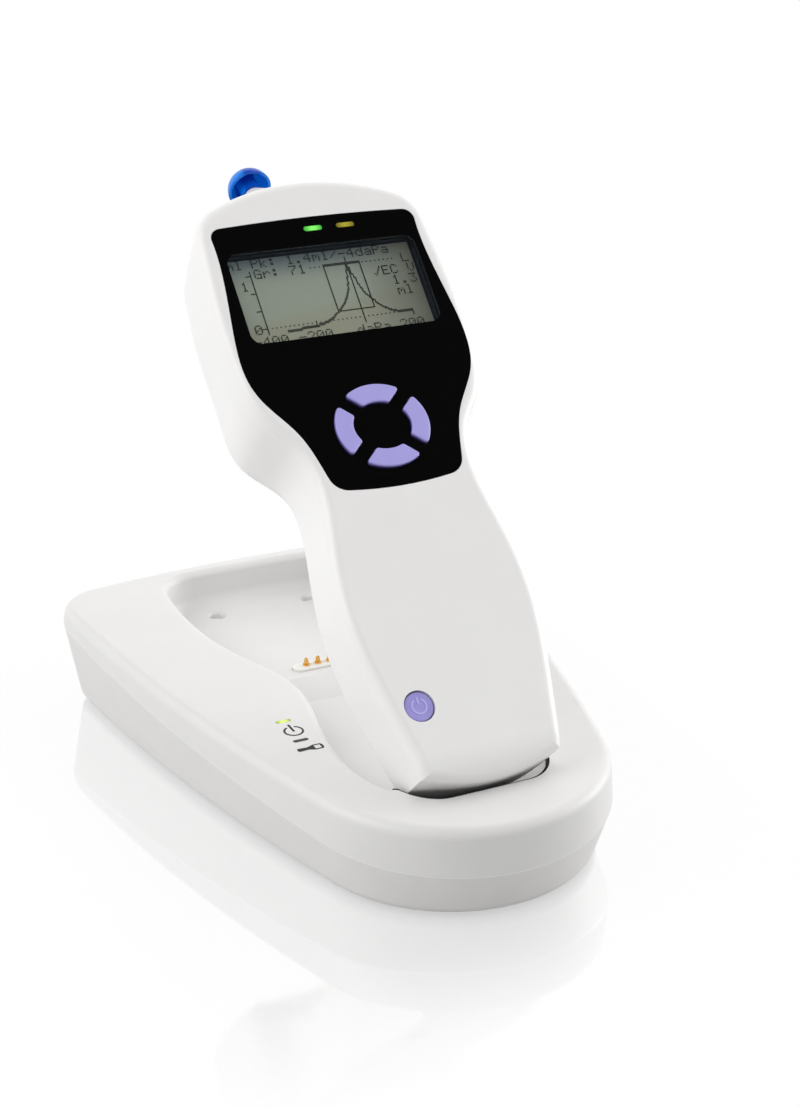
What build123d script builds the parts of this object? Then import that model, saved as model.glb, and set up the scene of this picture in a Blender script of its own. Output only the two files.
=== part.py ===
from build123d import *
import os
from math import sin, cos, acos, radians, degrees, atan2

os.makedirs("parts", exist_ok=True)

# Handheld tympanometer leaning in the foot slot of its charging cradle.
# Millimetres. +Z is up, -Y is the cradle's narrow front, X = 0 is the plane of symmetry.
# The origin is on the table under the middle of the cradle.

# General clearances
wall = 1.8
cradle_wall = 2.5
fit_gap = 0.15
move_gap = 0.3
seat_gap = 0.3
slide_fit = 0.05
key_gap = 0.3
window_gap = 0.03

# How far cuts and construction forms reach past the faces they cross
overshoot = 1.0
form_reach = 8.0
clear_reach = 20.0

# Handset: place of the key ring's centre on the front face, and lean from upright
ring_y = -10.5
ring_z = 115.4
handset_lean = 43.8

# Handset: outline of the face, half widths and heights from the key ring's centre
head_top = 85.4
head_corner_u = 37.7
head_corner_v = 75.2
head_side_u = 39.7
head_side_v = 48.0
shoulder_u = 39.5
shoulder_v = 25.0
hip_u = 34.9
hip_v = 6.5
waist_u = 28.4
waist_v = -3.0
neck_u = 25.6
neck_v = -17.0
palm_u = 28.3
palm_v = -36.0
grip_u = 30.1
grip_v = -56.0
thumb_u = 27.0
thumb_v = -81.0
foot_u = 22.0
foot_v = -104.6
foot_end = -108.8
head_corner_round = 13.0

# Handset: how much each side comes in from the face to the back
head_draft = 5.5
top_draft = 2.0
hip_draft = 2.0
grip_draft = 0.5

# Handset: depth behind the face
head_depth = 40.0
crown_depth = 37.5
back_swell_v = 14.5
back_swell_depth = 38.8
back_step_v = 1.5
back_step_depth = 35.5
back_waist_v = -11.5
back_waist_depth = 30.4
back_neck_v = -24.5
back_neck_depth = 28.5
grip_depth = 27.7
foot_depth = 25.5
face_round = 3.4
back_round = 8.0
foot_curve_start = -99.0
foot_curve_drop = 6.5
foot_curve_run = 12.0
seam_depth = 14.0

# Display overlay on the face
panel_depth = 0.9
panel_top = 70.7
panel_top_u = 33.9
panel_mid_u = 35.6
panel_mid_v = 38.5
panel_shoulder_u = 34.4
panel_shoulder_v = 14.5
panel_waist_u = 26.2
panel_waist_v = 1.5
panel_neck_u = 21.9
panel_neck_v = -12.0
panel_foot_u = 20.6
panel_foot_v = -17.6
panel_bottom = -19.4
panel_top_rise = 1.0
panel_corner = 3.6
panel_foot_corner = 6.0
window_frame = 1.6
window_u = 30.9
window_low = 31.5
window_high = 61.8
window_corner = 3.5

# Display module behind the window
lcd_depth = 5.5
lcd_glass = 2.2
lcd_u = 31.5
lcd_low = 30.6
lcd_high = 62.6
lcd_frame_wall = 2.0
lcd_frame_front = 3.4
backlight_thick = 2.0

# Status lights over the display
light_v = 67.65
light_u = (-0.6, 10.1)
light_length = 5.9
light_height = 1.5

# Key ring
key_outer_u = 14.8
key_outer_v = 13.4
key_inner_u = 9.2
key_inner_v = 7.6
key_slot = 4.4
key_rise = 1.2
key_body = 4.2
key_travel = 0.7
key_pillar_r = 1.5
board_corner = 1.6
key_edge = 0.55
key_corner = 0.9
mat_thick = 1.4
key_board_thick = 1.6
mat_corner = 2.0
mat_slot = 2.4
mat_u = 15.3
mat_v = 14.2
key_board_u = 18.8
key_board_v = 17.6

# Power button
power_u = -16.9
power_v = -84.9
power_r = 4.35
power_sink = 0.35
power_travel = 0.6
power_body = 3.6
power_board_u = 13.2
power_board_v = 11.0
power_board_x = -16.0
power_board_thick = 1.6
power_pillar_r = 1.4

# Main board
board_thick = 1.6
board_u = 32.5
board_low = 22.5
board_high = 68.6
pillar_r = 1.9
pillar_u = 29.5
pillar_low = 25.2
pillar_high = 66.8

# Battery cells in the grip
cell_count = 4
cell_r = 5.25
cell_pitch = 10.7
cell_length = 43.5
cell_v = -56.0
cell_back_gap = 0.3
cell_button_r = 1.9
cell_button = 1.0
tray_thick = 1.5
tray_gap = 0.35
tray_u = 23.0
tray_pillar_u = 20.0
tray_pillar_run = 16.0
contact_thick = 0.5
contact_wide = 6.0
door_u = 20.5
door_low = -83.0
door_high = -29.0
door_inset = 4.8
door_cut = 13.8

# Air pump, lying across the head behind the boards
pump_v = 36.0
pump_bore_r = 7.0
pump_shell = 1.4
pump_length = 29.0
pump_right = 32.8
piston_length = 8.0
stem_r = 3.2
stem_length = 12.0
screw_r = 1.5
motor_r = 7.5
motor_length = 15.0
motor_left = -32.8
piston_rest = 2.0
screw_in_motor = 4.0
screw_end_gap = 0.5
screw_tip_back = 3.0
stem_blind = 1.5
bracket_gap = 0.2
bracket_thick = 1.6
bracket_ends = 4.0
bracket_pillar_u = 20.0
bracket_pillar_v = 5.0
port_inset = 4.5

# Probe, tilted back from the handset's length
probe_tilt = 24.0
tip_rim_v = 104.0
tip_rim_depth = 36.0
collar_r = 10.4
collar_back = 30.0
collar_front = 15.5
nose_r = 9.6
nose_lead = 1.6
nose_back = 15.2
nose_front = 3.0
nose_tip_r = 3.0
nose_cup_r = 7.1
nose_cup = 2.6
nozzle_r = 2.1
nozzle_bore = 1.0
nozzle_front = 3.0
manifold_r = 8.6
manifold_back = 30.0
manifold_front = 17.0
spigot_r = 5.0
spigot_front = 13.0
seal_place = 14.6
nipple_place = 28.6
nipple_r = 1.3
nipple_reach = 3.0
speaker_r = 4.2
speaker_length = 5.5
speaker_x = -3.9
microphone_r = 2.8
microphone_length = 4.0
microphone_x = 4.6
tube_r = 1.7
tube_bore = 0.9
tube_bend = 5.5
tube_turn_v = 59.0
tube_inner_u = 17.5
tube_inner_v = 66.0
ear_mouth_r = 1.2
ear_r = 7.2
ear_skin = 0.9
ear_stem_r = 3.3
ear_stem_back = 3.0
ear_bore_gap = 0.3
ring_wire = 0.9
handset_screw_sides = ((24.0, 73.2), (29.5, 12.0), (15.5, -97.0))
handset_screw_places = [(side * u, v) for u, v in handset_screw_sides for side in (-1, 1)]
handset_screw_seats = (34.0, 34.0, 34.5, 34.5, 22.0, 22.0)
handset_boss_r = 4.2
handset_screw_reach = 9.0
sensor_u = -25.0
sensor_v = 60.0
sensor_size = 8.0
sensor_thick = 5.0

# Cradle: outline at the parting line
nose_radius = 48.0
cradle_front = -102.4
cradle_back = 102.4
back_corner_u = 72.6
back_corner_v = 96.4
side_angle = 16.0
back_round_plan = 17.0

# Cradle: heights
foot_gap = 0.8
parting_z = 22.2
parting_slope = 0.0667
top_z = 31.7
top_slope = 0.0214
base_inset = 5.0
top_inset = 0.9
base_edge = 3.6
top_edge = 3.2

# Cradle: pocket shaped like the handset
pocket_back = 94.0
pocket_head_u = 36.4
pocket_head_v = 62.0
pocket_corner_u = 35.6
pocket_corner_v = 80.0
pocket_slope_u = 32.6
pocket_slope_v = 34.0
pocket_neck_u = 23.6
pocket_neck_v = 4.0
pocket_grip_u = 29.2
pocket_grip_v = -34.0
pocket_foot_u = 25.4
pocket_foot_v = -68.0
pocket_front = -74.0
pocket_corner = 13.0
pocket_head_floor = 20.5
pocket_grip_floor = 17.5
pocket_step_v = 27.0
pocket_step_run = 12.0
pocket_round = 4.5
pocket_lip = 2.2
dimple_u = 17.3
dimple_v = 85.3
dimple_r = 2.6
dimple_depth = 2.0
dimple_lip = 1.2

# Cradle: foot slot
slot_u = 24.5
slot_front_depth = 9.6
slot_back_depth = 27.2
slot_corner = 12.3
slot_back_corner = 4.5
slot_floor = 4.0
slot_cut = 60.0
liner_wall = 1.0
liner_sink = 0.5
rib_u = 8.0
rib_wide = 2.2
rib_long = 12.0
rib_back = 8.0

# Cradle: contact block
contact_x = -2.6
contact_y = 33.2
contact_pitch = 4.1
contact_pad_r = 2.6
contact_pad_length = 17.5
contact_rise = 0.9
contact_below = 7.0
barrel_r = 1.15
barrel_rise = 0.5
barrel_floor = 0.6
pin_round = 0.45
block_edge = 0.5
pad_r = 1.6
pad_thick = 2.6
pad_hole_lead = 3.0
pad_hole_cut = 5.0
pin_r = 0.7
pin_rise = 2.4
pin_length = 7.5

# Cradle: status lights on the top
charge_x = -37.0
charge_y = -19.2
ready_y = -32.2
bar_length = 4.6
bar_width = 1.3
bar_lift = 5.0
bar_pass = 3.0
bar_deep = 5.0

# Cradle: inside
ballast_thick = 4.0
ballast_u = 52.0
ballast_low = 8.0
ballast_high = 82.0
charging_u = 16.0
charging_low = 22.0
post_r = 2.2
post_u = 13.0
post_inset = 3.0
charging_high = 44.0
foot_r = 6.0
foot_sink = 1.3
foot_places = ((-50.0, 70.0), (50.0, 70.0), (-34.0, -60.0), (34.0, -60.0))
screw_places = ((-58.0, 52.0), (58.0, 52.0), (-43.0, -38.0), (43.0, -38.0))
screw_top = 14.0
boss_meet = 7.0
boss_r = 4.0
screw_shank = 1.5
screw_head_r = 2.9
screw_head = 1.8
jack_x = 30.0
jack_z = 11.5
jack_bore = 2.75
jack_bore_length = 9.0
jack_size = 10.0
jack_length = 13.0

lean = radians(handset_lean)
along = (0, sin(lean), cos(lean))
outward = (0, -cos(lean), sin(lean))
face_plane = Plane(origin=(0, ring_y, ring_z), x_dir=(1, 0, 0), z_dir=outward)
side_plane = Plane(origin=(0, ring_y, ring_z), x_dir=along, z_dir=(1, 0, 0))


def face_at(depth):
    return face_plane.offset(-depth)


def across(v, depth):
    # Plane square to the handset's length: local x is across, local y is deeper
    spot = face_plane.from_local_coords((0, v, -depth))
    return Plane(origin=spot, x_dir=(1, 0, 0), z_dir=along)


def lying(u, v, depth):
    # Plane square to the handset's width, for the pump: local z is across
    spot = face_plane.from_local_coords((u, v, -depth))
    return Plane(origin=spot, x_dir=along, z_dir=(1, 0, 0))


def handset_outline(skin, draft):
    # Outline of the handset moved in by skin, at the face for draft 0 and at the back for draft 1
    crown_v = head_top - skin - draft * top_draft
    corner_u = head_corner_u - skin - draft * head_draft
    corner_v = head_corner_v - skin - draft * top_draft
    heel_u = foot_u - skin - draft * grip_draft
    heel_v = foot_v + skin
    side = (
        (corner_u, corner_v),
        (head_side_u - skin - draft * head_draft, head_side_v),
        (shoulder_u - skin - draft * head_draft, shoulder_v),
        (hip_u - skin - draft * hip_draft, hip_v),
        (waist_u - skin - draft * hip_draft, waist_v),
        (neck_u - skin - draft * grip_draft, neck_v),
        (palm_u - skin - draft * grip_draft, palm_v),
        (grip_u - skin - draft * grip_draft, grip_v),
        (thumb_u - skin - draft * grip_draft, thumb_v),
        (heel_u, heel_v),
    )
    with BuildSketch() as outline:
        with BuildLine():
            top = ThreePointArc((-corner_u, corner_v), (0, crown_v), (corner_u, corner_v))
            right = Spline(*side)
            foot = ThreePointArc((heel_u, heel_v), (0, foot_end + skin), (-heel_u, heel_v))
            left = Spline(*[(-u, v) for u, v in reversed(side)])
        make_face()
        fillet(outline.vertices().group_by(Axis.Y)[-1], head_corner_round - skin)
    return outline.sketch


def handset_form(skin):
    # The handset's outer body for skin 0, or the same body with every face moved in by skin
    with BuildPart() as form:
        with BuildSketch(face_plane.offset(overshoot)):
            add(handset_outline(skin, 0))
        with BuildSketch(face_at(head_depth + overshoot)):
            add(handset_outline(skin, 1))
        loft(ruled=True)
        with BuildSketch(side_plane):
            with BuildLine():
                back = Spline(
                    (head_top + form_reach, skin - crown_depth),
                    (head_side_v, skin - head_depth),
                    (back_swell_v, skin - back_swell_depth),
                    (back_step_v, skin - back_step_depth),
                    (back_waist_v, skin - back_waist_depth),
                    (back_neck_v, skin - back_neck_depth),
                    (grip_v, skin - grip_depth),
                    (foot_end - form_reach, skin - foot_depth),
                )
                tail = Line(back @ 1, (foot_end - form_reach, -skin - foot_curve_drop))
                toe = Line(tail @ 1, (foot_curve_start - foot_curve_run, -skin - foot_curve_drop))
                bend = TangentArc((foot_curve_start, -skin), toe @ 1, tangent=(-1, 0))
                front = Line((foot_curve_start, -skin), (head_top + form_reach, -skin))
                cap = Line(front @ 1, back @ 0)
            make_face()
        extrude(amount=head_side_u + form_reach, both=True, mode=Mode.INTERSECT)
        rear = form.faces().sort_by(Axis((0, 0, 0), outward))[0]
        fillet(rear.edges(), back_round - skin)
        if skin == 0:
            rounded = form.faces().sort_by(Axis((0, 0, 0), outward))[-2:]
            rim = rounded.edges().filter_by(Axis.X, reverse=True)
            fillet(rim, face_round)
    return form.part


def panel_outline(grow):
    # Outline of the recess for the black overlay, or of the overlay itself with a negative grow
    with BuildSketch(face_plane) as panel:
        with BuildLine():
            top = ThreePointArc(
                (-panel_top_u - grow, panel_top + grow),
                (0, panel_top + panel_top_rise + grow),
                (panel_top_u + grow, panel_top + grow),
            )
            right = Spline(
                top @ 1,
                (panel_mid_u + grow, panel_mid_v),
                (panel_shoulder_u + grow, panel_shoulder_v),
                (panel_waist_u + grow, panel_waist_v),
                (panel_neck_u + grow, panel_neck_v),
                (panel_foot_u + grow, panel_foot_v - grow),
            )
            bottom = ThreePointArc(
                right @ 1, (0, panel_bottom - grow), (-panel_foot_u - grow, panel_foot_v - grow)
            )
            left = Spline(
                bottom @ 1,
                (-panel_neck_u - grow, panel_neck_v),
                (-panel_waist_u - grow, panel_waist_v),
                (-panel_shoulder_u - grow, panel_shoulder_v),
                (-panel_mid_u - grow, panel_mid_v),
                top @ 0,
            )
        make_face()
        fillet(panel.vertices().group_by(Axis.Y)[-1], panel_corner + grow)
        fillet(panel.vertices().group_by(Axis.Y)[0], panel_foot_corner + grow)
    return panel.sketch


def window_outline(grow):
    with BuildSketch(face_plane) as window:
        with Locations((0, (window_low + window_high) / 2)):
            RectangleRounded(
                2 * (window_u + grow), window_high - window_low + 2 * grow, window_corner + grow
            )
    return window.sketch


def key_outline(side, grow, depth=0):
    # One key of the ring: a piece of an oval band cut off square to the diagonals
    with BuildSketch(face_at(depth)) as key:
        Ellipse(key_outer_u + grow, key_outer_v + grow)
        Ellipse(key_inner_u - grow, key_inner_v - grow, mode=Mode.SUBTRACT)
        diagonal = degrees(atan2(key_outer_v, key_outer_u))
        for turn in (diagonal, -diagonal):
            with Locations(Rotation(0, 0, turn)):
                Rectangle(4 * key_outer_u, key_slot - 2 * grow, mode=Mode.SUBTRACT)
        fillet([corner for corner in key.vertices() if abs(corner.Y) > 1], key_corner + grow)
    pieces = key.sketch.faces()
    across_pieces = pieces.sort_by(Axis((0, 0, 0), (1, 0, 0)))
    along_pieces = pieces.sort_by(Axis((0, 0, 0), along))
    found = {"left": across_pieces[0], "right": across_pieces[-1]}
    found.update({"down": along_pieces[0], "up": along_pieces[-1]})
    return found[side]


def light_outline(u, grow):
    with BuildSketch(face_plane) as light:
        with Locations((u, light_v)):
            SlotOverall(light_length + 2 * grow, light_height + 2 * grow)
    return light.sketch


handset_outer = handset_form(0)
handset_inner = handset_form(wall)

power_gap = 0.3
mat_depth = key_body - key_rise + key_travel + seat_gap
key_board_depth = mat_depth + mat_thick
lcd_bottom = lcd_depth + lcd_glass
board_depth = lcd_bottom + backlight_thick + 0.3
power_board_depth = power_sink + power_body + power_travel + seat_gap
cell_depth = grip_depth - wall - cell_back_gap - cell_r
tray_depth = cell_depth - cell_r - tray_gap
cell_half = cell_length / 2
contacts_v = back_swell_v
contacts_surface = back_swell_depth

# Front shell: the face with its recess, openings, pillars and screw bosses
with BuildPart() as front_bosses:
    with BuildSketch(face_plane):
        with Locations(*[(side * pillar_u, v) for side in (-1, 1) for v in (pillar_low, pillar_high)]):
            Circle(pillar_r)
    extrude(amount=-board_depth)
    with BuildSketch(face_plane):
        with GridLocations(2 * (key_board_u - board_corner), 2 * (key_board_v - board_corner), 2, 2):
            Circle(key_pillar_r)
    extrude(amount=-key_board_depth)
    with BuildSketch(face_plane):
        with Locations((power_board_x + power_board_u / 2 - board_corner, power_v)):
            with GridLocations(1, power_board_v - 2 * board_corner, 1, 2):
                Circle(power_pillar_r)
    extrude(amount=-power_board_depth)
    with BuildSketch(face_plane):
        with Locations((0, cell_v)):
            with GridLocations(2 * tray_pillar_u, 2 * tray_pillar_run, 2, 2):
                Circle(pillar_r)
    extrude(amount=-tray_depth + tray_thick)
    with BuildSketch(face_plane):
        with Locations(*handset_screw_places):
            Circle(handset_boss_r)
    extrude(amount=-seam_depth)
    add(handset_inner, mode=Mode.INTERSECT)

with BuildPart() as front_shell:
    add(handset_outer)
    add(handset_inner, mode=Mode.SUBTRACT)
    split(bisect_by=face_at(seam_depth), keep=Keep.TOP)
    add(front_bosses.part)
    extrude(panel_outline(0), amount=-panel_depth, mode=Mode.SUBTRACT)
    extrude(window_outline(window_frame), amount=-wall - overshoot, mode=Mode.SUBTRACT)
    for side in ("left", "right", "up", "down"):
        extrude(key_outline(side, key_gap), amount=-wall - overshoot, mode=Mode.SUBTRACT)
    for u in light_u:
        extrude(light_outline(u, fit_gap), amount=-wall - overshoot, mode=Mode.SUBTRACT)
    with BuildSketch(face_plane):
        with Locations((power_u, power_v)):
            Circle(power_r + power_gap)
    extrude(amount=-wall - overshoot, mode=Mode.SUBTRACT)
    with BuildSketch(face_at(seam_depth - handset_screw_reach)):
        with Locations(*handset_screw_places):
            Circle(screw_shank + slide_fit)
    extrude(amount=-handset_screw_reach - overshoot, mode=Mode.SUBTRACT)
front_shell.part.label = "front_shell"
export_step(front_shell.part, "parts/front_shell.step")

# Probe axis: origin at the ear tip's rim, local z away from the head
tilt = radians(probe_tilt)
pump_depth = tip_rim_depth - nipple_place * sin(tilt)
probe_dir = face_plane.from_local_coords((0, cos(tilt), -sin(tilt))) - face_plane.origin
probe_plane = Plane(
    origin=face_plane.from_local_coords((0, tip_rim_v, -tip_rim_depth)), x_dir=(1, 0, 0), z_dir=probe_dir
)
nipple_plane = Plane(
    origin=probe_plane.from_local_coords((manifold_r - overshoot, 0, -nipple_place)),
    x_dir=probe_dir,
    z_dir=(1, 0, 0),
)
notch_half = nipple_r + move_gap
notch_long = collar_back - nipple_place + overshoot + notch_half

# Rear shell: the deep back with the probe collar, the battery opening and the screw posts
with BuildPart() as rear_bosses:
    with BuildSketch(face_at(seam_depth)):
        with Locations(*handset_screw_places):
            Circle(handset_boss_r)
    extrude(amount=-head_depth)
    with BuildSketch(face_at(pump_depth + pump_bore_r + pump_shell + bracket_thick + bracket_gap)):
        with Locations((0, pump_v)):
            with GridLocations(2 * bracket_pillar_u, 2 * bracket_pillar_v, 2, 2):
                Circle(pillar_r)
    extrude(amount=-head_depth)
    with BuildSketch(probe_plane.offset(-collar_back)):
        Circle(collar_r)
    extrude(amount=collar_back - collar_front)
    add(handset_inner, mode=Mode.INTERSECT)

with BuildPart() as rear_shell:
    add(handset_outer)
    add(handset_inner, mode=Mode.SUBTRACT)
    split(bisect_by=face_at(seam_depth), keep=Keep.BOTTOM)
    add(rear_bosses.part)
    with BuildSketch(probe_plane.offset(-collar_back)):
        Circle(collar_r)
    extrude(amount=collar_back - collar_front)
    with BuildSketch(probe_plane.offset(-manifold_back - 2 * overshoot)):
        Circle(manifold_r + fit_gap)
    extrude(amount=manifold_back + 2 * overshoot, mode=Mode.SUBTRACT)
    with BuildSketch(nipple_plane):
        with Locations((notch_half - notch_long / 2, 0)):
            Rectangle(notch_long, 2 * notch_half)
    extrude(amount=nipple_reach + overshoot, mode=Mode.SUBTRACT)
    with BuildSketch(face_at(grip_depth - door_inset)):
        with Locations((0, (door_low + door_high) / 2)):
            Rectangle(2 * door_u, door_high - door_low)
    extrude(amount=-door_cut, mode=Mode.SUBTRACT)
    with BuildSketch(face_at(seam_depth)):
        with Locations(*handset_screw_places):
            Circle(screw_shank + slide_fit)
    extrude(amount=-head_depth, mode=Mode.SUBTRACT)
    for place, seat in zip(handset_screw_places, handset_screw_seats):
        with BuildSketch(face_at(seat)):
            with Locations(place):
                Circle(screw_head_r + fit_gap)
        extrude(amount=-head_depth, mode=Mode.SUBTRACT)
    with BuildSketch(face_at(contacts_surface - pad_hole_lead)):
        with Locations(*[(contact_x + step * contact_pitch, contacts_v) for step in (-1, 0, 1)]):
            Circle(pad_r)
    extrude(amount=-pad_hole_cut, mode=Mode.SUBTRACT)
rear_shell.part.label = "rear_shell"
export_step(rear_shell.part, "parts/rear_shell.step")

# Black overlay, flush in the face's recess
with BuildPart() as display_overlay:
    extrude(panel_outline(-fit_gap), amount=-panel_depth)
    extrude(window_outline(0), amount=-panel_depth, mode=Mode.SUBTRACT)
    for side in ("left", "right", "up", "down"):
        extrude(key_outline(side, key_gap), amount=-panel_depth, mode=Mode.SUBTRACT)
    for u in light_u:
        extrude(light_outline(u, fit_gap), amount=-panel_depth, mode=Mode.SUBTRACT)
display_overlay.part.label = "display_overlay"
export_step(display_overlay.part, "parts/display_overlay.step")

# Clear window, flush in the overlay
with BuildPart() as display_window:
    extrude(window_outline(-window_gap), amount=-panel_depth)
display_window.part.label = "display_window"
export_step(display_window.part, "parts/display_window.step")

# Light bars over the display
for name, u in zip(("status_light_left", "status_light_right"), light_u):
    with BuildPart() as status_light:
        extrude(light_outline(u, 0), amount=-wall - panel_depth)
    status_light.part.label = name
    export_step(status_light.part, f"parts/{name}.step")

# Display module: black frame round the glass, glass, light plate
lcd_middle = (lcd_low + lcd_high) / 2
lcd_height = lcd_high - lcd_low
with BuildPart() as lcd_frame:
    with BuildSketch(face_at(lcd_frame_front)):
        with Locations((0, lcd_middle)):
            Rectangle(2 * (lcd_u + lcd_frame_wall), lcd_height + 2 * lcd_frame_wall)
            Rectangle(2 * lcd_u, lcd_height, mode=Mode.SUBTRACT)
    extrude(amount=-(board_depth - lcd_frame_front))
lcd_frame.part.label = "lcd_frame"
export_step(lcd_frame.part, "parts/lcd_frame.step")

with BuildPart() as lcd_panel:
    with BuildSketch(face_at(lcd_depth)):
        with Locations((0, lcd_middle)):
            Rectangle(2 * (lcd_u - 0.1), lcd_height - 0.2)
    extrude(amount=-lcd_glass)
lcd_panel.part.label = "lcd_panel"
export_step(lcd_panel.part, "parts/lcd_panel.step")

with BuildPart() as backlight_plate:
    with BuildSketch(face_at(lcd_bottom)):
        with Locations((0, lcd_middle)):
            Rectangle(2 * (lcd_u - 0.2), lcd_height - 0.4)
    extrude(amount=-(board_depth - lcd_bottom))
backlight_plate.part.label = "backlight_plate"
export_step(backlight_plate.part, "parts/backlight_plate.step")

# Keys, the mat below them and their switch board
for side in ("left", "right", "up", "down"):
    with BuildPart() as key:
        extrude(key_outline(side, 0, -key_rise), amount=-key_body)
        crest = key.faces().sort_by(Axis((0, 0, 0), outward))[-1]
        fillet(crest.edges(), key_edge)
    key.part.label = f"key_{side}"
    export_step(key.part, f"parts/key_{side}.step")

with BuildPart() as keypad_mat:
    with BuildSketch(face_at(mat_depth)):
        RectangleRounded(2 * mat_u, 2 * mat_v, mat_corner)
        for turn in (0, 90):
            with Locations(Rotation(0, 0, turn)):
                SlotOverall(key_inner_v, mat_slot, mode=Mode.SUBTRACT)
    extrude(amount=-mat_thick)
keypad_mat.part.label = "keypad_mat"
export_step(keypad_mat.part, "parts/keypad_mat.step")

with BuildPart() as key_board:
    with BuildSketch(face_at(key_board_depth)):
        RectangleRounded(2 * key_board_u, 2 * key_board_v, 1.5)
    extrude(amount=-key_board_thick)
key_board.part.label = "key_board"
export_step(key_board.part, "parts/key_board.step")

# Power button in its well, and its switch board
with BuildPart() as power_button:
    with BuildSketch(face_at(power_sink)):
        with Locations((power_u, power_v)):
            Circle(power_r)
    extrude(amount=-power_body)
    crest = power_button.faces().sort_by(Axis((0, 0, 0), outward))[-1]
    fillet(crest.edges(), key_edge)
power_button.part.label = "power_button"
export_step(power_button.part, "parts/power_button.step")

with BuildPart() as power_switch_board:
    with BuildSketch(face_at(power_board_depth)):
        with Locations((power_board_x, power_v)):
            Rectangle(power_board_u, power_board_v)
    extrude(amount=-power_board_thick)
power_switch_board.part.label = "power_switch_board"
export_step(power_switch_board.part, "parts/power_switch_board.step")

# Main board behind the display, with the pressure sensor on its back
with BuildPart() as main_board:
    with BuildSketch(face_at(board_depth)):
        with Locations((0, (board_low + board_high) / 2)):
            RectangleRounded(2 * board_u, board_high - board_low, 1.5)
    extrude(amount=-board_thick)
main_board.part.label = "main_board"
export_step(main_board.part, "parts/main_board.step")

board_back = board_depth + board_thick
with BuildPart() as pressure_sensor:
    with BuildSketch(face_at(board_back)):
        with Locations((sensor_u, sensor_v)):
            Rectangle(sensor_size, sensor_size)
    extrude(amount=-sensor_thick)
    with BuildSketch(face_at(board_back + sensor_thick)):
        with Locations((sensor_u, sensor_v)):
            Circle(nipple_r)
    extrude(amount=-nipple_reach)
pressure_sensor.part.label = "pressure_sensor"
export_step(pressure_sensor.part, "parts/pressure_sensor.step")

# Air pump: motor, bracket, lead screw, piston and cylinder on one axis across the head
pump_left = pump_right - pump_length
pump_outer_r = pump_bore_r + pump_shell
motor_right = motor_left + motor_length
piston_left = pump_left + piston_rest
stem_left = piston_left - stem_length
screw_left = motor_right - screw_in_motor
bracket_depth = pump_depth + pump_outer_r + bracket_gap
with BuildPart() as pump_motor:
    with BuildSketch(lying(motor_left, pump_v, pump_depth)):
        Circle(motor_r)
    extrude(amount=motor_length)
    with BuildSketch(lying(motor_right, pump_v, pump_depth)):
        Circle(screw_r + slide_fit)
    extrude(amount=screw_left - motor_right - screw_end_gap, mode=Mode.SUBTRACT)
pump_motor.part.label = "pump_motor"
export_step(pump_motor.part, "parts/pump_motor.step")

with BuildPart() as pump_bracket:
    with BuildSketch(face_at(bracket_depth)):
        with Locations(((motor_left + pump_right) / 2, pump_v)):
            Rectangle(pump_right - motor_left - 2 * bracket_ends, 2 * pump_bore_r)
    extrude(amount=-bracket_thick)
    for cheek in (motor_right, pump_left - bracket_thick):
        with BuildSketch(lying(cheek, pump_v, pump_depth)):
            with Locations((0, -(bracket_depth - pump_depth - pump_bore_r) / 2)):
                Rectangle(2 * pump_bore_r, bracket_depth - pump_depth + pump_bore_r)
            Circle(stem_r + move_gap, mode=Mode.SUBTRACT)
        extrude(amount=bracket_thick)
pump_bracket.part.label = "pump_bracket"
export_step(pump_bracket.part, "parts/pump_bracket.step")

with BuildPart() as pump_cylinder:
    with BuildSketch(lying(pump_left, pump_v, pump_depth)):
        Circle(pump_outer_r)
    extrude(amount=pump_length)
    with BuildSketch(lying(pump_left, pump_v, pump_depth)):
        Circle(pump_bore_r)
    extrude(amount=pump_length - pump_shell, mode=Mode.SUBTRACT)
    with BuildSketch(across(pump_v + pump_bore_r + pump_shell / 2, pump_depth)):
        with Locations((pump_right - port_inset, 0)):
            Circle(nipple_r)
    extrude(amount=pump_shell / 2 + nipple_reach)
pump_cylinder.part.label = "pump_cylinder"
export_step(pump_cylinder.part, "parts/pump_cylinder.step")

with BuildPart() as pump_piston:
    with BuildSketch(lying(piston_left, pump_v, pump_depth)):
        Circle(pump_bore_r - slide_fit)
    extrude(amount=piston_length)
    with BuildSketch(lying(stem_left, pump_v, pump_depth)):
        Circle(stem_r)
    extrude(amount=stem_length)
    with BuildSketch(lying(stem_left, pump_v, pump_depth)):
        Circle(screw_r + slide_fit)
    extrude(amount=stem_length + piston_length - stem_blind, mode=Mode.SUBTRACT)
pump_piston.part.label = "pump_piston"
export_step(pump_piston.part, "parts/pump_piston.step")

with BuildPart() as lead_screw:
    with BuildSketch(lying(screw_left, pump_v, pump_depth)):
        Circle(screw_r)
    extrude(amount=piston_left + piston_length - screw_tip_back - screw_left)
lead_screw.part.label = "lead_screw"
export_step(lead_screw.part, "parts/lead_screw.step")

# Probe: acoustic block in the collar, speaker and microphone behind it
with BuildPart() as probe_manifold:
    with BuildSketch(probe_plane.offset(-manifold_back)):
        Circle(manifold_r)
    extrude(amount=manifold_back - manifold_front)
    with BuildSketch(probe_plane.offset(-manifold_front)):
        Circle(spigot_r)
    extrude(amount=manifold_front - spigot_front)
    with BuildSketch(nipple_plane):
        Circle(nipple_r)
    extrude(amount=nipple_reach + overshoot)
probe_manifold.part.label = "probe_manifold"
export_step(probe_manifold.part, "parts/probe_manifold.step")

for name, x, radius, length in (
    ("probe_speaker", speaker_x, speaker_r, speaker_length),
    ("probe_microphone", microphone_x, microphone_r, microphone_length),
):
    with BuildPart() as capsule:
        with BuildSketch(probe_plane.offset(-manifold_back)):
            with Locations((x, 0)):
                Circle(radius)
        extrude(amount=-length)
    capsule.part.label = name
    export_step(capsule.part, f"parts/{name}.step")

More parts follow.
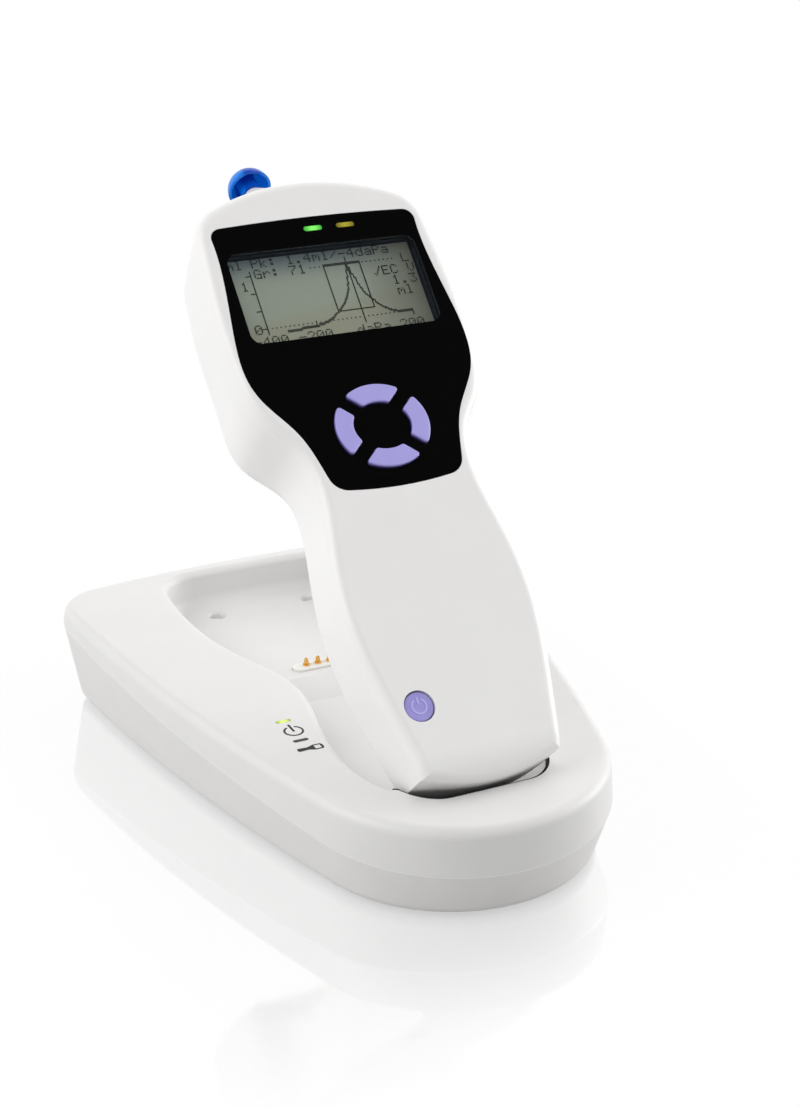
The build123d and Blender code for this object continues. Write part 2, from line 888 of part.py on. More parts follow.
# Silicone tube from the pump's port to the probe block's port
tube_start = (pump_right - port_inset, pump_v + pump_bore_r + pump_shell + nipple_reach)
nipple_v = tip_rim_v - nipple_place * cos(tilt)
tube_end = (manifold_r + nipple_reach, nipple_v)
with BuildPart() as pump_tube:
    with BuildLine(face_at(pump_depth)):
        route = FilletPolyline(
            tube_start,
            (tube_start[0], tube_turn_v),
            (tube_inner_u, tube_inner_v),
            (tube_inner_u, nipple_v),
            tube_end,
            radius=tube_bend,
        )
    with BuildSketch(across(tube_start[1], pump_depth)):
        with Locations((tube_start[0], 0)):
            Circle(tube_r)
            Circle(tube_bore, mode=Mode.SUBTRACT)
    sweep(path=route)
pump_tube.part.label = "pump_tube"
export_step(pump_tube.part, "parts/pump_tube.step")

# Removable nose cone with its O-ring, and the mushroom ear tip
with BuildPart() as probe_nose:
    with BuildSketch(Plane(origin=probe_plane.origin, x_dir=(1, 0, 0), z_dir=probe_plane.y_dir * -1)):
        with BuildLine():
            Polyline(
                (nozzle_bore, -nose_back + nose_cup),
                (nose_cup_r, -nose_back + nose_cup),
                (nose_cup_r, -nose_back),
                (nose_r, -nose_back),
                (nose_r, -nose_back + nose_lead),
                (nose_tip_r, -nose_front),
                (nozzle_r, -nose_front),
                (nozzle_r, nozzle_front),
                (nozzle_bore, nozzle_front),
                close=True,
            )
        make_face()
    revolve(axis=Axis(probe_plane.origin, probe_dir))
probe_nose.part.label = "probe_nose"
export_step(probe_nose.part, "parts/probe_nose.step")

with BuildPart() as nose_seal:
    with BuildSketch(Plane(origin=probe_plane.origin, x_dir=(1, 0, 0), z_dir=probe_plane.y_dir * -1)):
        with Locations((spigot_r + ring_wire, -seal_place)):
            Circle(ring_wire)
    revolve(axis=Axis(probe_plane.origin, probe_dir))
nose_seal.part.label = "nose_seal"
export_step(nose_seal.part, "parts/nose_seal.step")

ear_bore_r = nozzle_r + ear_bore_gap
ear_inner_r = ear_r - ear_skin
stem_meet = (ear_inner_r**2 - ear_stem_r**2) ** 0.5
with BuildPart() as ear_tip:
    with BuildSketch(Plane(origin=probe_plane.origin, x_dir=(1, 0, 0), z_dir=probe_plane.y_dir * -1)):
        with BuildLine():
            dome = CenterArc((0, 0), ear_r, start_angle=0, arc_size=degrees(acos(ear_mouth_r / ear_r)))
            Polyline(
                dome @ 1,
                (ear_mouth_r, nozzle_front + ear_bore_gap),
                (ear_bore_r, nozzle_front + ear_bore_gap),
                (ear_bore_r, ear_bore_gap - ear_stem_back),
                (ear_stem_r, ear_bore_gap - ear_stem_back),
                (ear_stem_r, stem_meet),
            )
            CenterArc((0, 0), ear_inner_r, start_angle=0, arc_size=degrees(atan2(stem_meet, ear_stem_r)))
            Line((ear_inner_r, 0), (ear_r, 0))
        make_face()
    revolve(axis=Axis(probe_plane.origin, probe_dir))
ear_tip.part.label = "ear_tip"
export_step(ear_tip.part, "parts/ear_tip.step")

# Battery tray, cells, contacts and the lift-off door
cell_places = [((place - (cell_count - 1) / 2) * cell_pitch, cell_depth) for place in range(cell_count)]
tray_low = cell_v - cell_half - contact_thick - tray_gap
tray_high = cell_v + cell_half + cell_button + contact_thick + tray_gap
with BuildPart() as battery_tray:
    with BuildSketch(face_at(tray_depth - tray_thick)):
        with Locations((0, (tray_low + tray_high) / 2)):
            RectangleRounded(2 * tray_u, tray_high - tray_low + 2 * tray_thick, 2)
    extrude(amount=-tray_thick)
    with BuildSketch(face_at(tray_depth)):
        with Locations((0, tray_low - tray_thick / 2), (0, tray_high + tray_thick / 2)):
            Rectangle(2 * tray_u - 4 * tray_thick, tray_thick)
    extrude(amount=-(grip_depth - wall - seat_gap - tray_depth))
battery_tray.part.label = "battery_tray"
export_step(battery_tray.part, "parts/battery_tray.step")

with BuildPart() as battery_cells:
    with BuildSketch(across(cell_v - cell_half, 0)):
        with Locations(*cell_places):
            Circle(cell_r)
    extrude(amount=cell_length)
    with BuildSketch(across(cell_v + cell_half, 0)):
        with Locations(*cell_places):
            Circle(cell_button_r)
    extrude(amount=cell_button)
battery_cells.part.label = "battery_cells"
export_step(battery_cells.part, "parts/battery_cells.step")

with BuildPart() as battery_contacts:
    for v in (tray_low, tray_high - contact_thick):
        with BuildSketch(across(v, 0)):
            with Locations(*cell_places):
                Rectangle(contact_wide, contact_wide)
        extrude(amount=contact_thick)
battery_contacts.part.label = "battery_contacts"
export_step(battery_contacts.part, "parts/battery_contacts.step")

with BuildPart() as battery_door:
    add(handset_outer)
    add(handset_inner, mode=Mode.SUBTRACT)
    with BuildSketch(face_at(grip_depth - door_inset)):
        with Locations((0, (door_low + door_high) / 2)):
            Rectangle(2 * (door_u - move_gap), door_high - door_low - 2 * move_gap)
    extrude(amount=-door_cut, mode=Mode.INTERSECT)
battery_door.part.label = "battery_door"
export_step(battery_door.part, "parts/battery_door.step")

# Gold pads on the back that meet the cradle's pins
with BuildPart() as charge_contacts:
    with BuildSketch(face_at(contacts_surface - pad_thick)):
        with Locations(*[(contact_x + step * contact_pitch, contacts_v) for step in (-1, 0, 1)]):
            Circle(pad_r)
    extrude(amount=-pad_thick)
charge_contacts.part.label = "charge_contacts"
export_step(charge_contacts.part, "parts/charge_contacts.step")

with BuildPart() as handset_screws:
    for place, seat in zip(handset_screw_places, handset_screw_seats):
        with BuildSketch(face_at(seat)):
            with Locations(place):
                Circle(screw_head_r)
        extrude(amount=-screw_head)
        with BuildSketch(face_at(seat)):
            with Locations(place):
                Circle(screw_shank)
        extrude(amount=seat - seam_depth + handset_screw_reach - overshoot)
handset_screws.part.label = "handset_screws"
export_step(handset_screws.part, "parts/handset_screws.step")


def parting_plane(lift):
    slope = parting_slope
    return Plane(origin=(0, 0, parting_z + lift), x_dir=(1, 0, 0), z_dir=(0, -slope, 1))


def top_plane(lift):
    return Plane(origin=(0, 0, top_z + lift), x_dir=(1, 0, 0), z_dir=(0, -top_slope, 1))


def cradle_outline(plane, inset):
    # Round nose, long bowed sides and rounded back corners, all arcs
    with BuildSketch(plane) as outline:
        with BuildLine():
            nose = CenterArc(
                (0, cradle_front + nose_radius),
                nose_radius - inset,
                start_angle=180 + side_angle,
                arc_size=180 - 2 * side_angle,
            )
            right = TangentArc(nose @ 1, (back_corner_u - inset, back_corner_v - inset), tangent=nose % 1)
            back = ThreePointArc(
                right @ 1, (0, cradle_back - inset), (inset - back_corner_u, back_corner_v - inset)
            )
            bow = right @ 0.5
            left = ThreePointArc(back @ 1, (-bow.X, bow.Y), nose @ 0)
        face = make_face()
        fillet(face.vertices().group_by(Axis.Y)[-1], back_round_plan - inset)
    return outline.sketch


def pocket_outline(grow):
    with BuildSketch() as outline:
        with BuildLine():
            side = Spline(
                (pocket_corner_u + grow, pocket_corner_v),
                (pocket_head_u + grow, pocket_head_v),
                (pocket_slope_u + grow, pocket_slope_v),
                (pocket_neck_u + grow, pocket_neck_v),
                (pocket_grip_u + grow, pocket_grip_v),
                (pocket_foot_u + grow, pocket_foot_v),
            )
            front = ThreePointArc(side @ 1, (0, pocket_front - grow), (-pocket_foot_u - grow, pocket_foot_v))
            mirrored = Spline(
                front @ 1,
                (-pocket_grip_u - grow, pocket_grip_v),
                (-pocket_neck_u - grow, pocket_neck_v),
                (-pocket_slope_u - grow, pocket_slope_v),
                (-pocket_head_u - grow, pocket_head_v),
                (-pocket_corner_u - grow, pocket_corner_v),
            )
            left_top = Line(mirrored @ 1, (-pocket_corner_u - grow, pocket_back + grow))
            back = Line(left_top @ 1, (pocket_corner_u + grow, pocket_back + grow))
            right_top = Line(back @ 1, side @ 0)
        face = make_face()
        fillet(face.vertices().group_by(Axis.Y)[-1], pocket_corner)
    return outline.sketch


def pocket_form(grow):
    # The recess in the top, shaped like the handset, or the same grown for the basin round it
    with BuildPart() as form:
        with BuildSketch(Plane.XY.offset(top_z + clear_reach)):
            add(pocket_outline(grow))
        extrude(amount=-top_z - clear_reach)
        with BuildSketch(Plane.YZ):
            with BuildLine():
                Polyline(
                    (pocket_back + form_reach, top_z + clear_reach),
                    (pocket_back + form_reach, pocket_head_floor - grow),
                    (pocket_step_v, pocket_head_floor - grow),
                    (pocket_step_v - pocket_step_run, pocket_grip_floor - grow),
                    (pocket_front - form_reach, pocket_grip_floor - grow),
                    (pocket_front - form_reach, top_z + clear_reach),
                    close=True,
                )
            make_face()
        extrude(amount=pocket_head_u + form_reach, both=True, mode=Mode.INTERSECT)
        if grow == 0:
            low = form.edges().filter_by(lambda edge: edge.center().Z < pocket_head_floor + 0.1)
            across_steps = low.filter_by(Axis.X).sort_by(Axis.Y)[:2]
            fillet(low - across_steps, pocket_round)
    return form.part


def slot_prism(grow, deeper):
    # The foot slot: a box along the handset's own length, more rounded at its front
    middle = (slot_front_depth + slot_back_depth) / 2
    bottom = foot_end - slot_floor - deeper
    with BuildPart() as prism:
        with BuildSketch(across(bottom, 0)) as mouth:
            with Locations((0, middle)):
                Rectangle(2 * (slot_u + grow), slot_back_depth - slot_front_depth + 2 * grow)
            fillet(mouth.vertices().group_by(Axis.Y)[0], slot_corner + grow)
            fillet(mouth.vertices().group_by(Axis.Y)[-1], slot_back_corner + grow)
        extrude(amount=slot_cut)
    return prism.part


with BuildPart() as upper_outer:
    add(cradle_outline(parting_plane(0), 0))
    add(cradle_outline(top_plane(0), top_inset))
    loft(ruled=True)
    fillet(upper_outer.faces().sort_by(Axis.Z)[-1].edges(), top_edge)

with BuildPart() as lower_outer:
    add(cradle_outline(Plane.XY.offset(foot_gap), base_inset))
    add(cradle_outline(parting_plane(0), 0))
    loft(ruled=True)
    fillet(lower_outer.faces().sort_by(Axis.Z)[0].edges(), base_edge)

with BuildPart() as upper_inner:
    add(cradle_outline(parting_plane(-overshoot), cradle_wall))
    add(cradle_outline(top_plane(-cradle_wall), cradle_wall + top_inset))
    loft(ruled=True)

with BuildPart() as lower_inner:
    add(cradle_outline(Plane.XY.offset(foot_gap + cradle_wall), base_inset + cradle_wall))
    add(cradle_outline(parting_plane(1), cradle_wall))
    loft(ruled=True)

# Everything that may hang below the cover's top inside the cradle stays within this envelope
with BuildPart() as envelope:
    add(upper_outer.part)
    add(lower_inner.part)

boss_base = foot_gap + cradle_wall
jack_face = cradle_back - jack_x**2 / (4 * back_corner_u) - base_inset / 2 - 1.2

# Upper shell: deck, pocket basin, foot slot sleeve and screw posts
with BuildPart() as cover_posts:
    with BuildSketch(Plane.XY.offset(boss_meet)):
        with Locations(*screw_places):
            Circle(boss_r)
    extrude(amount=top_z)
    add(pocket_form(cradle_wall))
    add(slot_prism(liner_wall + fit_gap + wall, liner_wall + fit_gap + wall))
    add(envelope.part, mode=Mode.INTERSECT)

with BuildPart() as cradle_cover:
    add(upper_outer.part)
    add(upper_inner.part, mode=Mode.SUBTRACT)
    add(cover_posts.part)
    add(pocket_form(0), mode=Mode.SUBTRACT)
    deck = cradle_cover.faces().filter_by(GeomType.PLANE).sort_by(Axis.Z)[-1]
    fillet(deck.inner_wires().edges(), pocket_lip)
    add(slot_prism(liner_wall + fit_gap, liner_wall + fit_gap), mode=Mode.SUBTRACT)
    with BuildSketch(Plane.XY.offset(top_z + bar_lift)):
        with Locations((charge_x, charge_y), (charge_x, ready_y)):
            SlotOverall(bar_length + 2 * fit_gap, bar_width + 2 * fit_gap)
    extrude(amount=-bar_lift - bar_deep - bar_pass, mode=Mode.SUBTRACT)
    with BuildSketch(Plane.XY.offset(pocket_head_floor - dimple_depth)):
        with Locations((-dimple_u, dimple_v), (dimple_u, dimple_v)):
            Circle(dimple_r)
    extrude(amount=dimple_depth + overshoot, mode=Mode.SUBTRACT)
    dimple_rims = cradle_cover.edges().filter_by(GeomType.CIRCLE).filter_by(
        lambda edge: abs(edge.radius - dimple_r) < 0.01 and abs(edge.arc_center.Z - pocket_head_floor) < 0.01
    )
    fillet(dimple_rims, dimple_lip)
    with BuildSketch(Plane.XY.offset(pocket_head_floor + overshoot)):
        with Locations((contact_x, contact_y)):
            SlotOverall(contact_pad_length + 2 * fit_gap, 2 * contact_pad_r + 2 * fit_gap)
    extrude(amount=-cradle_wall - 2 * overshoot, mode=Mode.SUBTRACT)
    with BuildSketch(Plane.XY.offset(boss_meet)):
        with Locations(*screw_places):
            Circle(screw_shank + slide_fit)
    extrude(amount=screw_top - boss_meet + overshoot, mode=Mode.SUBTRACT)
cradle_cover.part.label = "cradle_cover"
export_step(cradle_cover.part, "parts/cradle_cover.step")

# Black liner of the foot slot, with two ribs that the foot stands on
with BuildPart() as liner_trim:
    add(Pos(0, 0, -liner_sink) * upper_outer.part)
    add(lower_inner.part)

with BuildPart() as socket_liner:
    add(slot_prism(liner_wall, liner_wall))
    add(slot_prism(0, 0), mode=Mode.SUBTRACT)
    with BuildSketch(across(foot_end - slot_floor, 0)):
        with Locations((-rib_u, slot_back_depth - rib_back), (rib_u, slot_back_depth - rib_back)):
            Rectangle(rib_wide, rib_long)
    extrude(amount=slot_floor - move_gap)
    add(liner_trim.part, mode=Mode.INTERSECT)
    add(pocket_form(0), mode=Mode.SUBTRACT)
socket_liner.part.label = "socket_liner"
export_step(socket_liner.part, "parts/socket_liner.step")

# Lower shell: floor, screw bosses, board posts, jack shelf and the opening for the jack
charging_bottom = pocket_head_floor - contact_below - board_thick
post_low = charging_low + post_inset
post_high = charging_high - post_inset
post_places = [(contact_x + x, y) for x in (-post_u, post_u) for y in (post_low, post_high)]
with BuildPart() as base_posts:
    with BuildSketch(Plane.XY.offset(foot_gap)):
        with Locations(*screw_places):
            Circle(boss_r)
    extrude(amount=boss_meet - foot_gap)
    with BuildSketch(Plane.XY.offset(foot_gap)):
        with Locations(*post_places):
            Circle(post_r)
    extrude(amount=charging_bottom - foot_gap)
    with BuildSketch(Plane.XY.offset(foot_gap)):
        with Locations((jack_x, jack_face - jack_length / 2)):
            Rectangle(jack_size, jack_length)
    extrude(amount=jack_z - jack_size / 2 - foot_gap)
    add(lower_outer.part, mode=Mode.INTERSECT)

with BuildPart() as cradle_base:
    add(lower_outer.part)
    add(lower_inner.part, mode=Mode.SUBTRACT)
    add(base_posts.part)
    with BuildSketch(Plane.XY.offset(jack_z - jack_size / 2)):
        with Locations((jack_x, jack_face)):
            Rectangle(jack_size + 2 * fit_gap, 2 * jack_length)
    extrude(amount=jack_size + fit_gap, mode=Mode.SUBTRACT)
    with BuildSketch(Plane.XY):
        with Locations(*foot_places):
            Circle(foot_r + fit_gap)
    extrude(amount=foot_gap + foot_sink, mode=Mode.SUBTRACT)
    with BuildSketch(Plane.XY):
        with Locations(*screw_places):
            Circle(screw_head_r + fit_gap)
    extrude(amount=foot_gap + screw_head + overshoot, mode=Mode.SUBTRACT)
    with BuildSketch(Plane.XY):
        with Locations(*screw_places):
            Circle(screw_shank + slide_fit)
    extrude(amount=boss_meet + overshoot, mode=Mode.SUBTRACT)
cradle_base.part.label = "cradle_base"
export_step(cradle_base.part, "parts/cradle_base.step")

with BuildPart() as cradle_feet:
    with BuildSketch(Plane.XY):
        with Locations(*foot_places):
            Circle(foot_r)
    extrude(amount=foot_gap + foot_sink)
cradle_feet.part.label = "cradle_feet"
export_step(cradle_feet.part, "parts/cradle_feet.step")

with BuildPart() as cradle_screws:
    with BuildSketch(Plane.XY.offset(foot_gap + overshoot)):
        with Locations(*screw_places):
            Circle(screw_head_r)
    extrude(amount=screw_head)
    with BuildSketch(Plane.XY.offset(foot_gap + overshoot)):
        with Locations(*screw_places):
            Circle(screw_shank)
    extrude(amount=screw_top - foot_gap - overshoot)
cradle_screws.part.label = "cradle_screws"
export_step(cradle_screws.part, "parts/cradle_screws.step")

# Steel plate on the floor, cut out round the board posts
with BuildPart() as ballast_plate:
    with BuildSketch(Plane.XY.offset(boss_base)):
        with Locations((0, (ballast_low + ballast_high) / 2)):
            RectangleRounded(2 * ballast_u, ballast_high - ballast_low, 6)
        with Locations(*post_places):
            Circle(post_r + move_gap, mode=Mode.SUBTRACT)
    extrude(amount=ballast_thick)
ballast_plate.part.label = "ballast_plate"
export_step(ballast_plate.part, "parts/ballast_plate.step")

with BuildPart() as charging_board:
    with BuildSketch(Plane.XY.offset(charging_bottom)):
        with Locations((contact_x, (charging_low + charging_high) / 2)):
            RectangleRounded(2 * charging_u, charging_high - charging_low, 1.5)
    extrude(amount=board_thick)
charging_board.part.label = "charging_board"
export_step(charging_board.part, "parts/charging_board.step")

# Contact block with its three barrels and spring pins
pin_places = [(contact_x + step * contact_pitch, contact_y) for step in (-1, 0, 1)]
block_top = pocket_head_floor + contact_rise
block_bottom = pocket_head_floor - contact_below
with BuildPart() as contact_block:
    with BuildSketch(Plane.XY.offset(block_bottom)):
        with Locations((contact_x, contact_y)):
            SlotOverall(contact_pad_length, 2 * contact_pad_r)
    extrude(amount=block_top - block_bottom)
    fillet(contact_block.faces().sort_by(Axis.Z)[-1].edges(), block_edge)
    with BuildSketch(Plane.XY.offset(block_bottom)):
        with Locations(*pin_places):
            Circle(barrel_r)
    extrude(amount=block_top - block_bottom + overshoot, mode=Mode.SUBTRACT)
contact_block.part.label = "contact_block"
export_step(contact_block.part, "parts/contact_block.step")

with BuildPart() as pogo_barrels:
    with BuildSketch(Plane.XY.offset(block_bottom)):
        with Locations(*pin_places):
            Circle(barrel_r)
    extrude(amount=block_top + barrel_rise - block_bottom)
    with BuildSketch(Plane.XY.offset(block_bottom + barrel_floor)):
        with Locations(*pin_places):
            Circle(pin_r + slide_fit)
    extrude(amount=block_top - block_bottom + overshoot, mode=Mode.SUBTRACT)
pogo_barrels.part.label = "pogo_barrels"
export_step(pogo_barrels.part, "parts/pogo_barrels.step")

for name, place in zip(("pogo_pin_left", "pogo_pin_middle", "pogo_pin_right"), pin_places):
    with BuildPart() as pogo_pin:
        with BuildSketch(Plane.XY.offset(block_top + pin_rise - pin_length)):
            with Locations(place):
                Circle(pin_r)
        extrude(amount=pin_length)
        fillet(pogo_pin.faces().sort_by(Axis.Z)[-1].edges(), pin_round)
    pogo_pin.part.label = name
    export_step(pogo_pin.part, f"parts/{name}.step")

# Light bars in the cradle's top
for name, y in (("charge_light", charge_y), ("ready_light", ready_y)):
    with BuildPart() as light_bar:
        with BuildSketch(Plane.XY.offset(top_z - bar_deep)):
            with Locations((charge_x, y)):
                SlotOverall(bar_length, bar_width)
        extrude(amount=bar_deep + bar_lift)
        add(upper_outer.part, mode=Mode.INTERSECT)
    light_bar.part.label = name
    export_step(light_bar.part, f"parts/{name}.step")

# Power inlet on its shelf, its bore open to the back
with BuildPart() as dc_socket:
    with BuildSketch(Plane.XY.offset(jack_z - jack_size / 2)):
        with Locations((jack_x, jack_face - jack_length / 2)):
            Rectangle(jack_size, jack_length)
    extrude(amount=jack_size)
    with BuildSketch(Plane(origin=(jack_x, jack_face, jack_z), x_dir=(1, 0, 0), z_dir=(0, 1, 0))):
        Circle(jack_bore)
    extrude(amount=-jack_bore_length, mode=Mode.SUBTRACT)
dc_socket.part.label = "dc_socket"
export_step(dc_socket.part, "parts/dc_socket.step")
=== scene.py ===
import math

import bpy
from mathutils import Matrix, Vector


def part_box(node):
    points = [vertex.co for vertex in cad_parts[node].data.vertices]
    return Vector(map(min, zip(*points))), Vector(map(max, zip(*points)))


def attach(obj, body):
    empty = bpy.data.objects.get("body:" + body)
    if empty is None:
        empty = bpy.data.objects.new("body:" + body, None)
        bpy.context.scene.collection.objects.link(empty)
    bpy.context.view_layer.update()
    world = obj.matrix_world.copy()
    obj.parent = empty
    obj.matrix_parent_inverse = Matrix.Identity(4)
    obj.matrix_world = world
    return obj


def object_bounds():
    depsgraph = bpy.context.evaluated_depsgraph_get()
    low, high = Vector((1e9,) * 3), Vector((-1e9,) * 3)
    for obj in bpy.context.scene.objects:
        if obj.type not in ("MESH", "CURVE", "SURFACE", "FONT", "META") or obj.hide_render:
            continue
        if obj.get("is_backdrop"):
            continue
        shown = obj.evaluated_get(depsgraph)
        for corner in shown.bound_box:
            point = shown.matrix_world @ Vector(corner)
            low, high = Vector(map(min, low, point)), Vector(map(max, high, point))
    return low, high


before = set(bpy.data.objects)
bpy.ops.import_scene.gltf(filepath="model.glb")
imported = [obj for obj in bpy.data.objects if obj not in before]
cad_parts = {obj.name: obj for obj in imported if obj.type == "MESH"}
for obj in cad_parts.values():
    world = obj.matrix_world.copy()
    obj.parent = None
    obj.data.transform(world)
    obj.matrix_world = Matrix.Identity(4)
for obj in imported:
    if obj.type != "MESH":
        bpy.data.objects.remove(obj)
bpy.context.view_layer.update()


# ---------------------------------------------------------------------------
# Camera
# It stands to the left of the cradle's narrow front and a little above the
# handset, as it does in the photograph. The frame is 800 x 1107.

photo_height = 1107
focal_pixels = 2118.55
camera_place = Vector((-0.25344, -0.54033, 0.31380))
camera_target = Vector((0.0, -0.0223, 0.07951))
camera = bpy.data.objects.new("camera", bpy.data.cameras.new("camera"))
camera.data.sensor_width = 36.0
camera.data.lens = 36.0 * focal_pixels / photo_height
camera.location = camera_place
camera.rotation_mode = "QUATERNION"
camera.rotation_quaternion = (camera_target - camera_place).to_track_quat("-Z", "Y")
bpy.context.scene.collection.objects.link(camera)
bpy.context.scene.camera = camera
bpy.context.scene.view_settings.view_transform = "Standard"


# ---------------------------------------------------------------------------
# Studio
# A polished white table top under soft light. The large softbox hangs to the
# left, and a weaker one fills from the right. The table fades into white.

class Field:
    """A socket of a node tree. Python's own sums on it add the nodes that do them."""

    def __init__(self, tree, socket=None):
        self.tree = tree
        self.socket = socket

    def node(self, kind, settings=None, values=None, output=0):
        made = self.tree.nodes.new(kind)
        for name, setting in (settings or {}).items():
            setattr(made, name, setting)
        for name, value in (values or {}).items():
            if isinstance(value, Field):
                self.tree.links.new(value.socket, made.inputs[name])
            else:
                made.inputs[name].default_value = value
        return Field(self.tree, made.outputs[output] if len(made.outputs) else None)

    def worked(self, operation, other, swapped=False):
        pair = (other, self) if swapped else (self, other)
        kinds = {side.socket.type for side in pair if isinstance(side, Field)}
        if "RGBA" in kinds:
            tones = [side if isinstance(side, Field) else (side, side, side, 1.0) for side in pair]
            return self.node("ShaderNodeMix", {"data_type": "RGBA", "blend_type": operation},
                             {0: 1.0, 6: tones[0], 7: tones[1]}, 2)
        if "VECTOR" in kinds:
            sides = [side if isinstance(side, Field) else (side, side, side) for side in pair]
            return self.node("ShaderNodeVectorMath", {"operation": operation}, {0: sides[0], 1: sides[1]})
        return self.node("ShaderNodeMath", {"operation": operation}, {0: pair[0], 1: pair[1]})

    def __add__(self, other):
        return self.worked("ADD", other)

    def __radd__(self, other):
        return self.worked("ADD", other, True)

    def __sub__(self, other):
        return self.worked("SUBTRACT", other)

    def __rsub__(self, other):
        return self.worked("SUBTRACT", other, True)

    def __mul__(self, other):
        return self.worked("MULTIPLY", other)

    def __rmul__(self, other):
        return self.worked("MULTIPLY", other, True)

    def __truediv__(self, other):
        return self.worked("DIVIDE", other)

    def __rtruediv__(self, other):
        return self.worked("DIVIDE", other, True)

    def __abs__(self):
        return self.node("ShaderNodeMath", {"operation": "ABSOLUTE"}, {0: self})


def tone(red, green, blue):
    """A colour from its everyday 0 to 255 values."""
    return tuple(((part / 255 + 0.055) / 1.055) ** 2.4 for part in (red, green, blue)) + (1.0,)


def rise(value, low, high):
    """0 below low and 1 above high, with a soft rise between."""
    return value.node("ShaderNodeMapRange", {"interpolation_type": "SMOOTHSTEP"},
                      {"Value": value, "From Min": low, "From Max": high})


def between(mask, first, second):
    """The first colour where the mask is 0 and the second where it is 1."""
    return mask.node("ShaderNodeMix", {"data_type": "RGBA"}, {0: mask, 6: first, 7: second}, 2)


def shown(mesh_name, points, faces, smooth):
    """A new object in the scene, from points in millimetres."""
    mesh = bpy.data.meshes.new(mesh_name)
    mesh.from_pydata([Vector(point) / 1000 for point in points], [], faces)
    mesh.update()
    mesh.polygons.foreach_set("use_smooth", [smooth] * len(mesh.polygons))
    made = bpy.data.objects.new(mesh_name, mesh)
    bpy.context.scene.collection.objects.link(made)
    return made


white = (1.0, 1.0, 1.0, 1.0)
floor_half = 4000
floor = shown("table_top", [(-floor_half, -floor_half, 0), (floor_half, -floor_half, 0),
                            (floor_half, floor_half, 0), (-floor_half, floor_half, 0)], [(0, 1, 2, 3)], False)
floor_finish = bpy.data.materials.new("white_table")
floor_finish.use_nodes = True
floor_finish.node_tree.nodes.clear()
bare = Field(floor_finish.node_tree)
floor_place = bare.node("ShaderNodeTexCoord", output="Object")
floor_x = floor_place.node("ShaderNodeSeparateXYZ", {}, {0: floor_place}, "X")
floor_y = floor_place.node("ShaderNodeSeparateXYZ", {}, {0: floor_place}, "Y")
floor_spread = (abs(floor_x) / 0.072).worked("MAXIMUM", abs(floor_y) / 0.092)
floor_grain = floor_place.node("ShaderNodeTexNoise", {}, {"Vector": floor_place, "Scale": 60.0, "Detail": 3.0})
floor_lit = bare.node("ShaderNodeBsdfPrincipled", {}, {
    "Base Color": (0.62, 0.62, 0.625, 1.0),
    "Roughness": 0.10 + 0.04 * floor_grain,
    "IOR": 2.6,
})
floor_mirror = bare.node("ShaderNodeBsdfPrincipled", {}, {
    "Base Color": (0.97, 0.97, 0.975, 1.0),
    "Metallic": 0.86,
    "Roughness": 0.04 + 0.04 * floor_grain,
})
floor_white = bare.node("ShaderNodeEmission", {}, {"Color": white, "Strength": 1.0})
rays = bare.node("ShaderNodeLightPath", output="Is Camera Ray")
mirrored = bare.node("ShaderNodeLightPath", output="Is Glossy Ray")
through = bare.node("ShaderNodeLightPath", output="Is Transmission Ray")
far = rise(floor_spread, 1.10, 1.75)
seen = rays * (0.54 + 0.46 * far)
other_ray = (mirrored + through) * (0.4 + 0.6 * far)
floor_near = bare.node("ShaderNodeMixShader", {}, {0: rays, 1: floor_lit, 2: floor_mirror})
floor_mix = bare.node("ShaderNodeMixShader", {}, {0: seen + other_ray, 1: floor_near, 2: floor_white})
bare.node("ShaderNodeOutputMaterial", {}, {"Surface": floor_mix})
floor.data.materials.append(floor_finish)
floor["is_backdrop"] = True

world = bpy.data.worlds.new("studio_air")
bpy.context.scene.world = world
world.use_nodes = True
world.node_tree.nodes.clear()
air = Field(world.node_tree)
sky = air.node("ShaderNodeTexCoord", output="Generated")
height = air.node("ShaderNodeSeparateXYZ", {}, {0: sky}, "Z")
across_room = air.node("ShaderNodeSeparateXYZ", {}, {0: sky}, "X")
along_room = air.node("ShaderNodeSeparateXYZ", {}, {0: sky}, "Y")
overhead = rise(height, 0.25, 0.75)
low_front = rise(-1 * along_room, 0.0, 0.7) * (1 - rise(height, 0.10, 0.55))
camera_ray = air.node("ShaderNodeLightPath", output="Is Camera Ray")
clear_ray = air.node("ShaderNodeLightPath", output="Is Transmission Ray")
gloss_ray = air.node("ShaderNodeLightPath", output="Is Glossy Ray")
side_fill = (1.00 * rise(across_room, 0.2, 0.9) + 0.28 * rise(-1 * across_room, 0.2, 0.9)
             + 0.20 * rise(along_room, 0.2, 0.9))
fill_strength = (1.05 - 0.47 * overhead + side_fill) * (1 - 0.97 * low_front)
seen_white = camera_ray + clear_ray
mirror_strength = 1.0 - 0.97 * rise(height, 0.62, 0.78)
strength = seen_white + gloss_ray * mirror_strength + (1.0 - seen_white - gloss_ray) * fill_strength
air_light = air.node("ShaderNodeBackground", {}, {"Color": white, "Strength": strength})
air.node("ShaderNodeOutputWorld", {}, {"Surface": air_light})


def softbox(name, place, target, size, power, warmth=white):
    light = bpy.data.lights.new(name, "AREA")
    light.shape = "RECTANGLE"
    light.size, light.size_y = size
    light.energy = power
    light.color = warmth[:3]
    made = bpy.data.objects.new(name, light)
    made.location = place
    made.rotation_mode = "QUATERNION"
    made.rotation_quaternion = (Vector(target) - Vector(place)).to_track_quat("-Z", "Y")
    bpy.context.scene.collection.objects.link(made)
    return made


softbox("softbox_left", (-1.00, 0.0, 0.95), (0, 0, 0.08), (0.9, 0.9), 6.0)
softbox("softbox_right", (1.15, -0.10, 0.22), (0, 0, 0.08), (0.6, 0.8), 6.5)


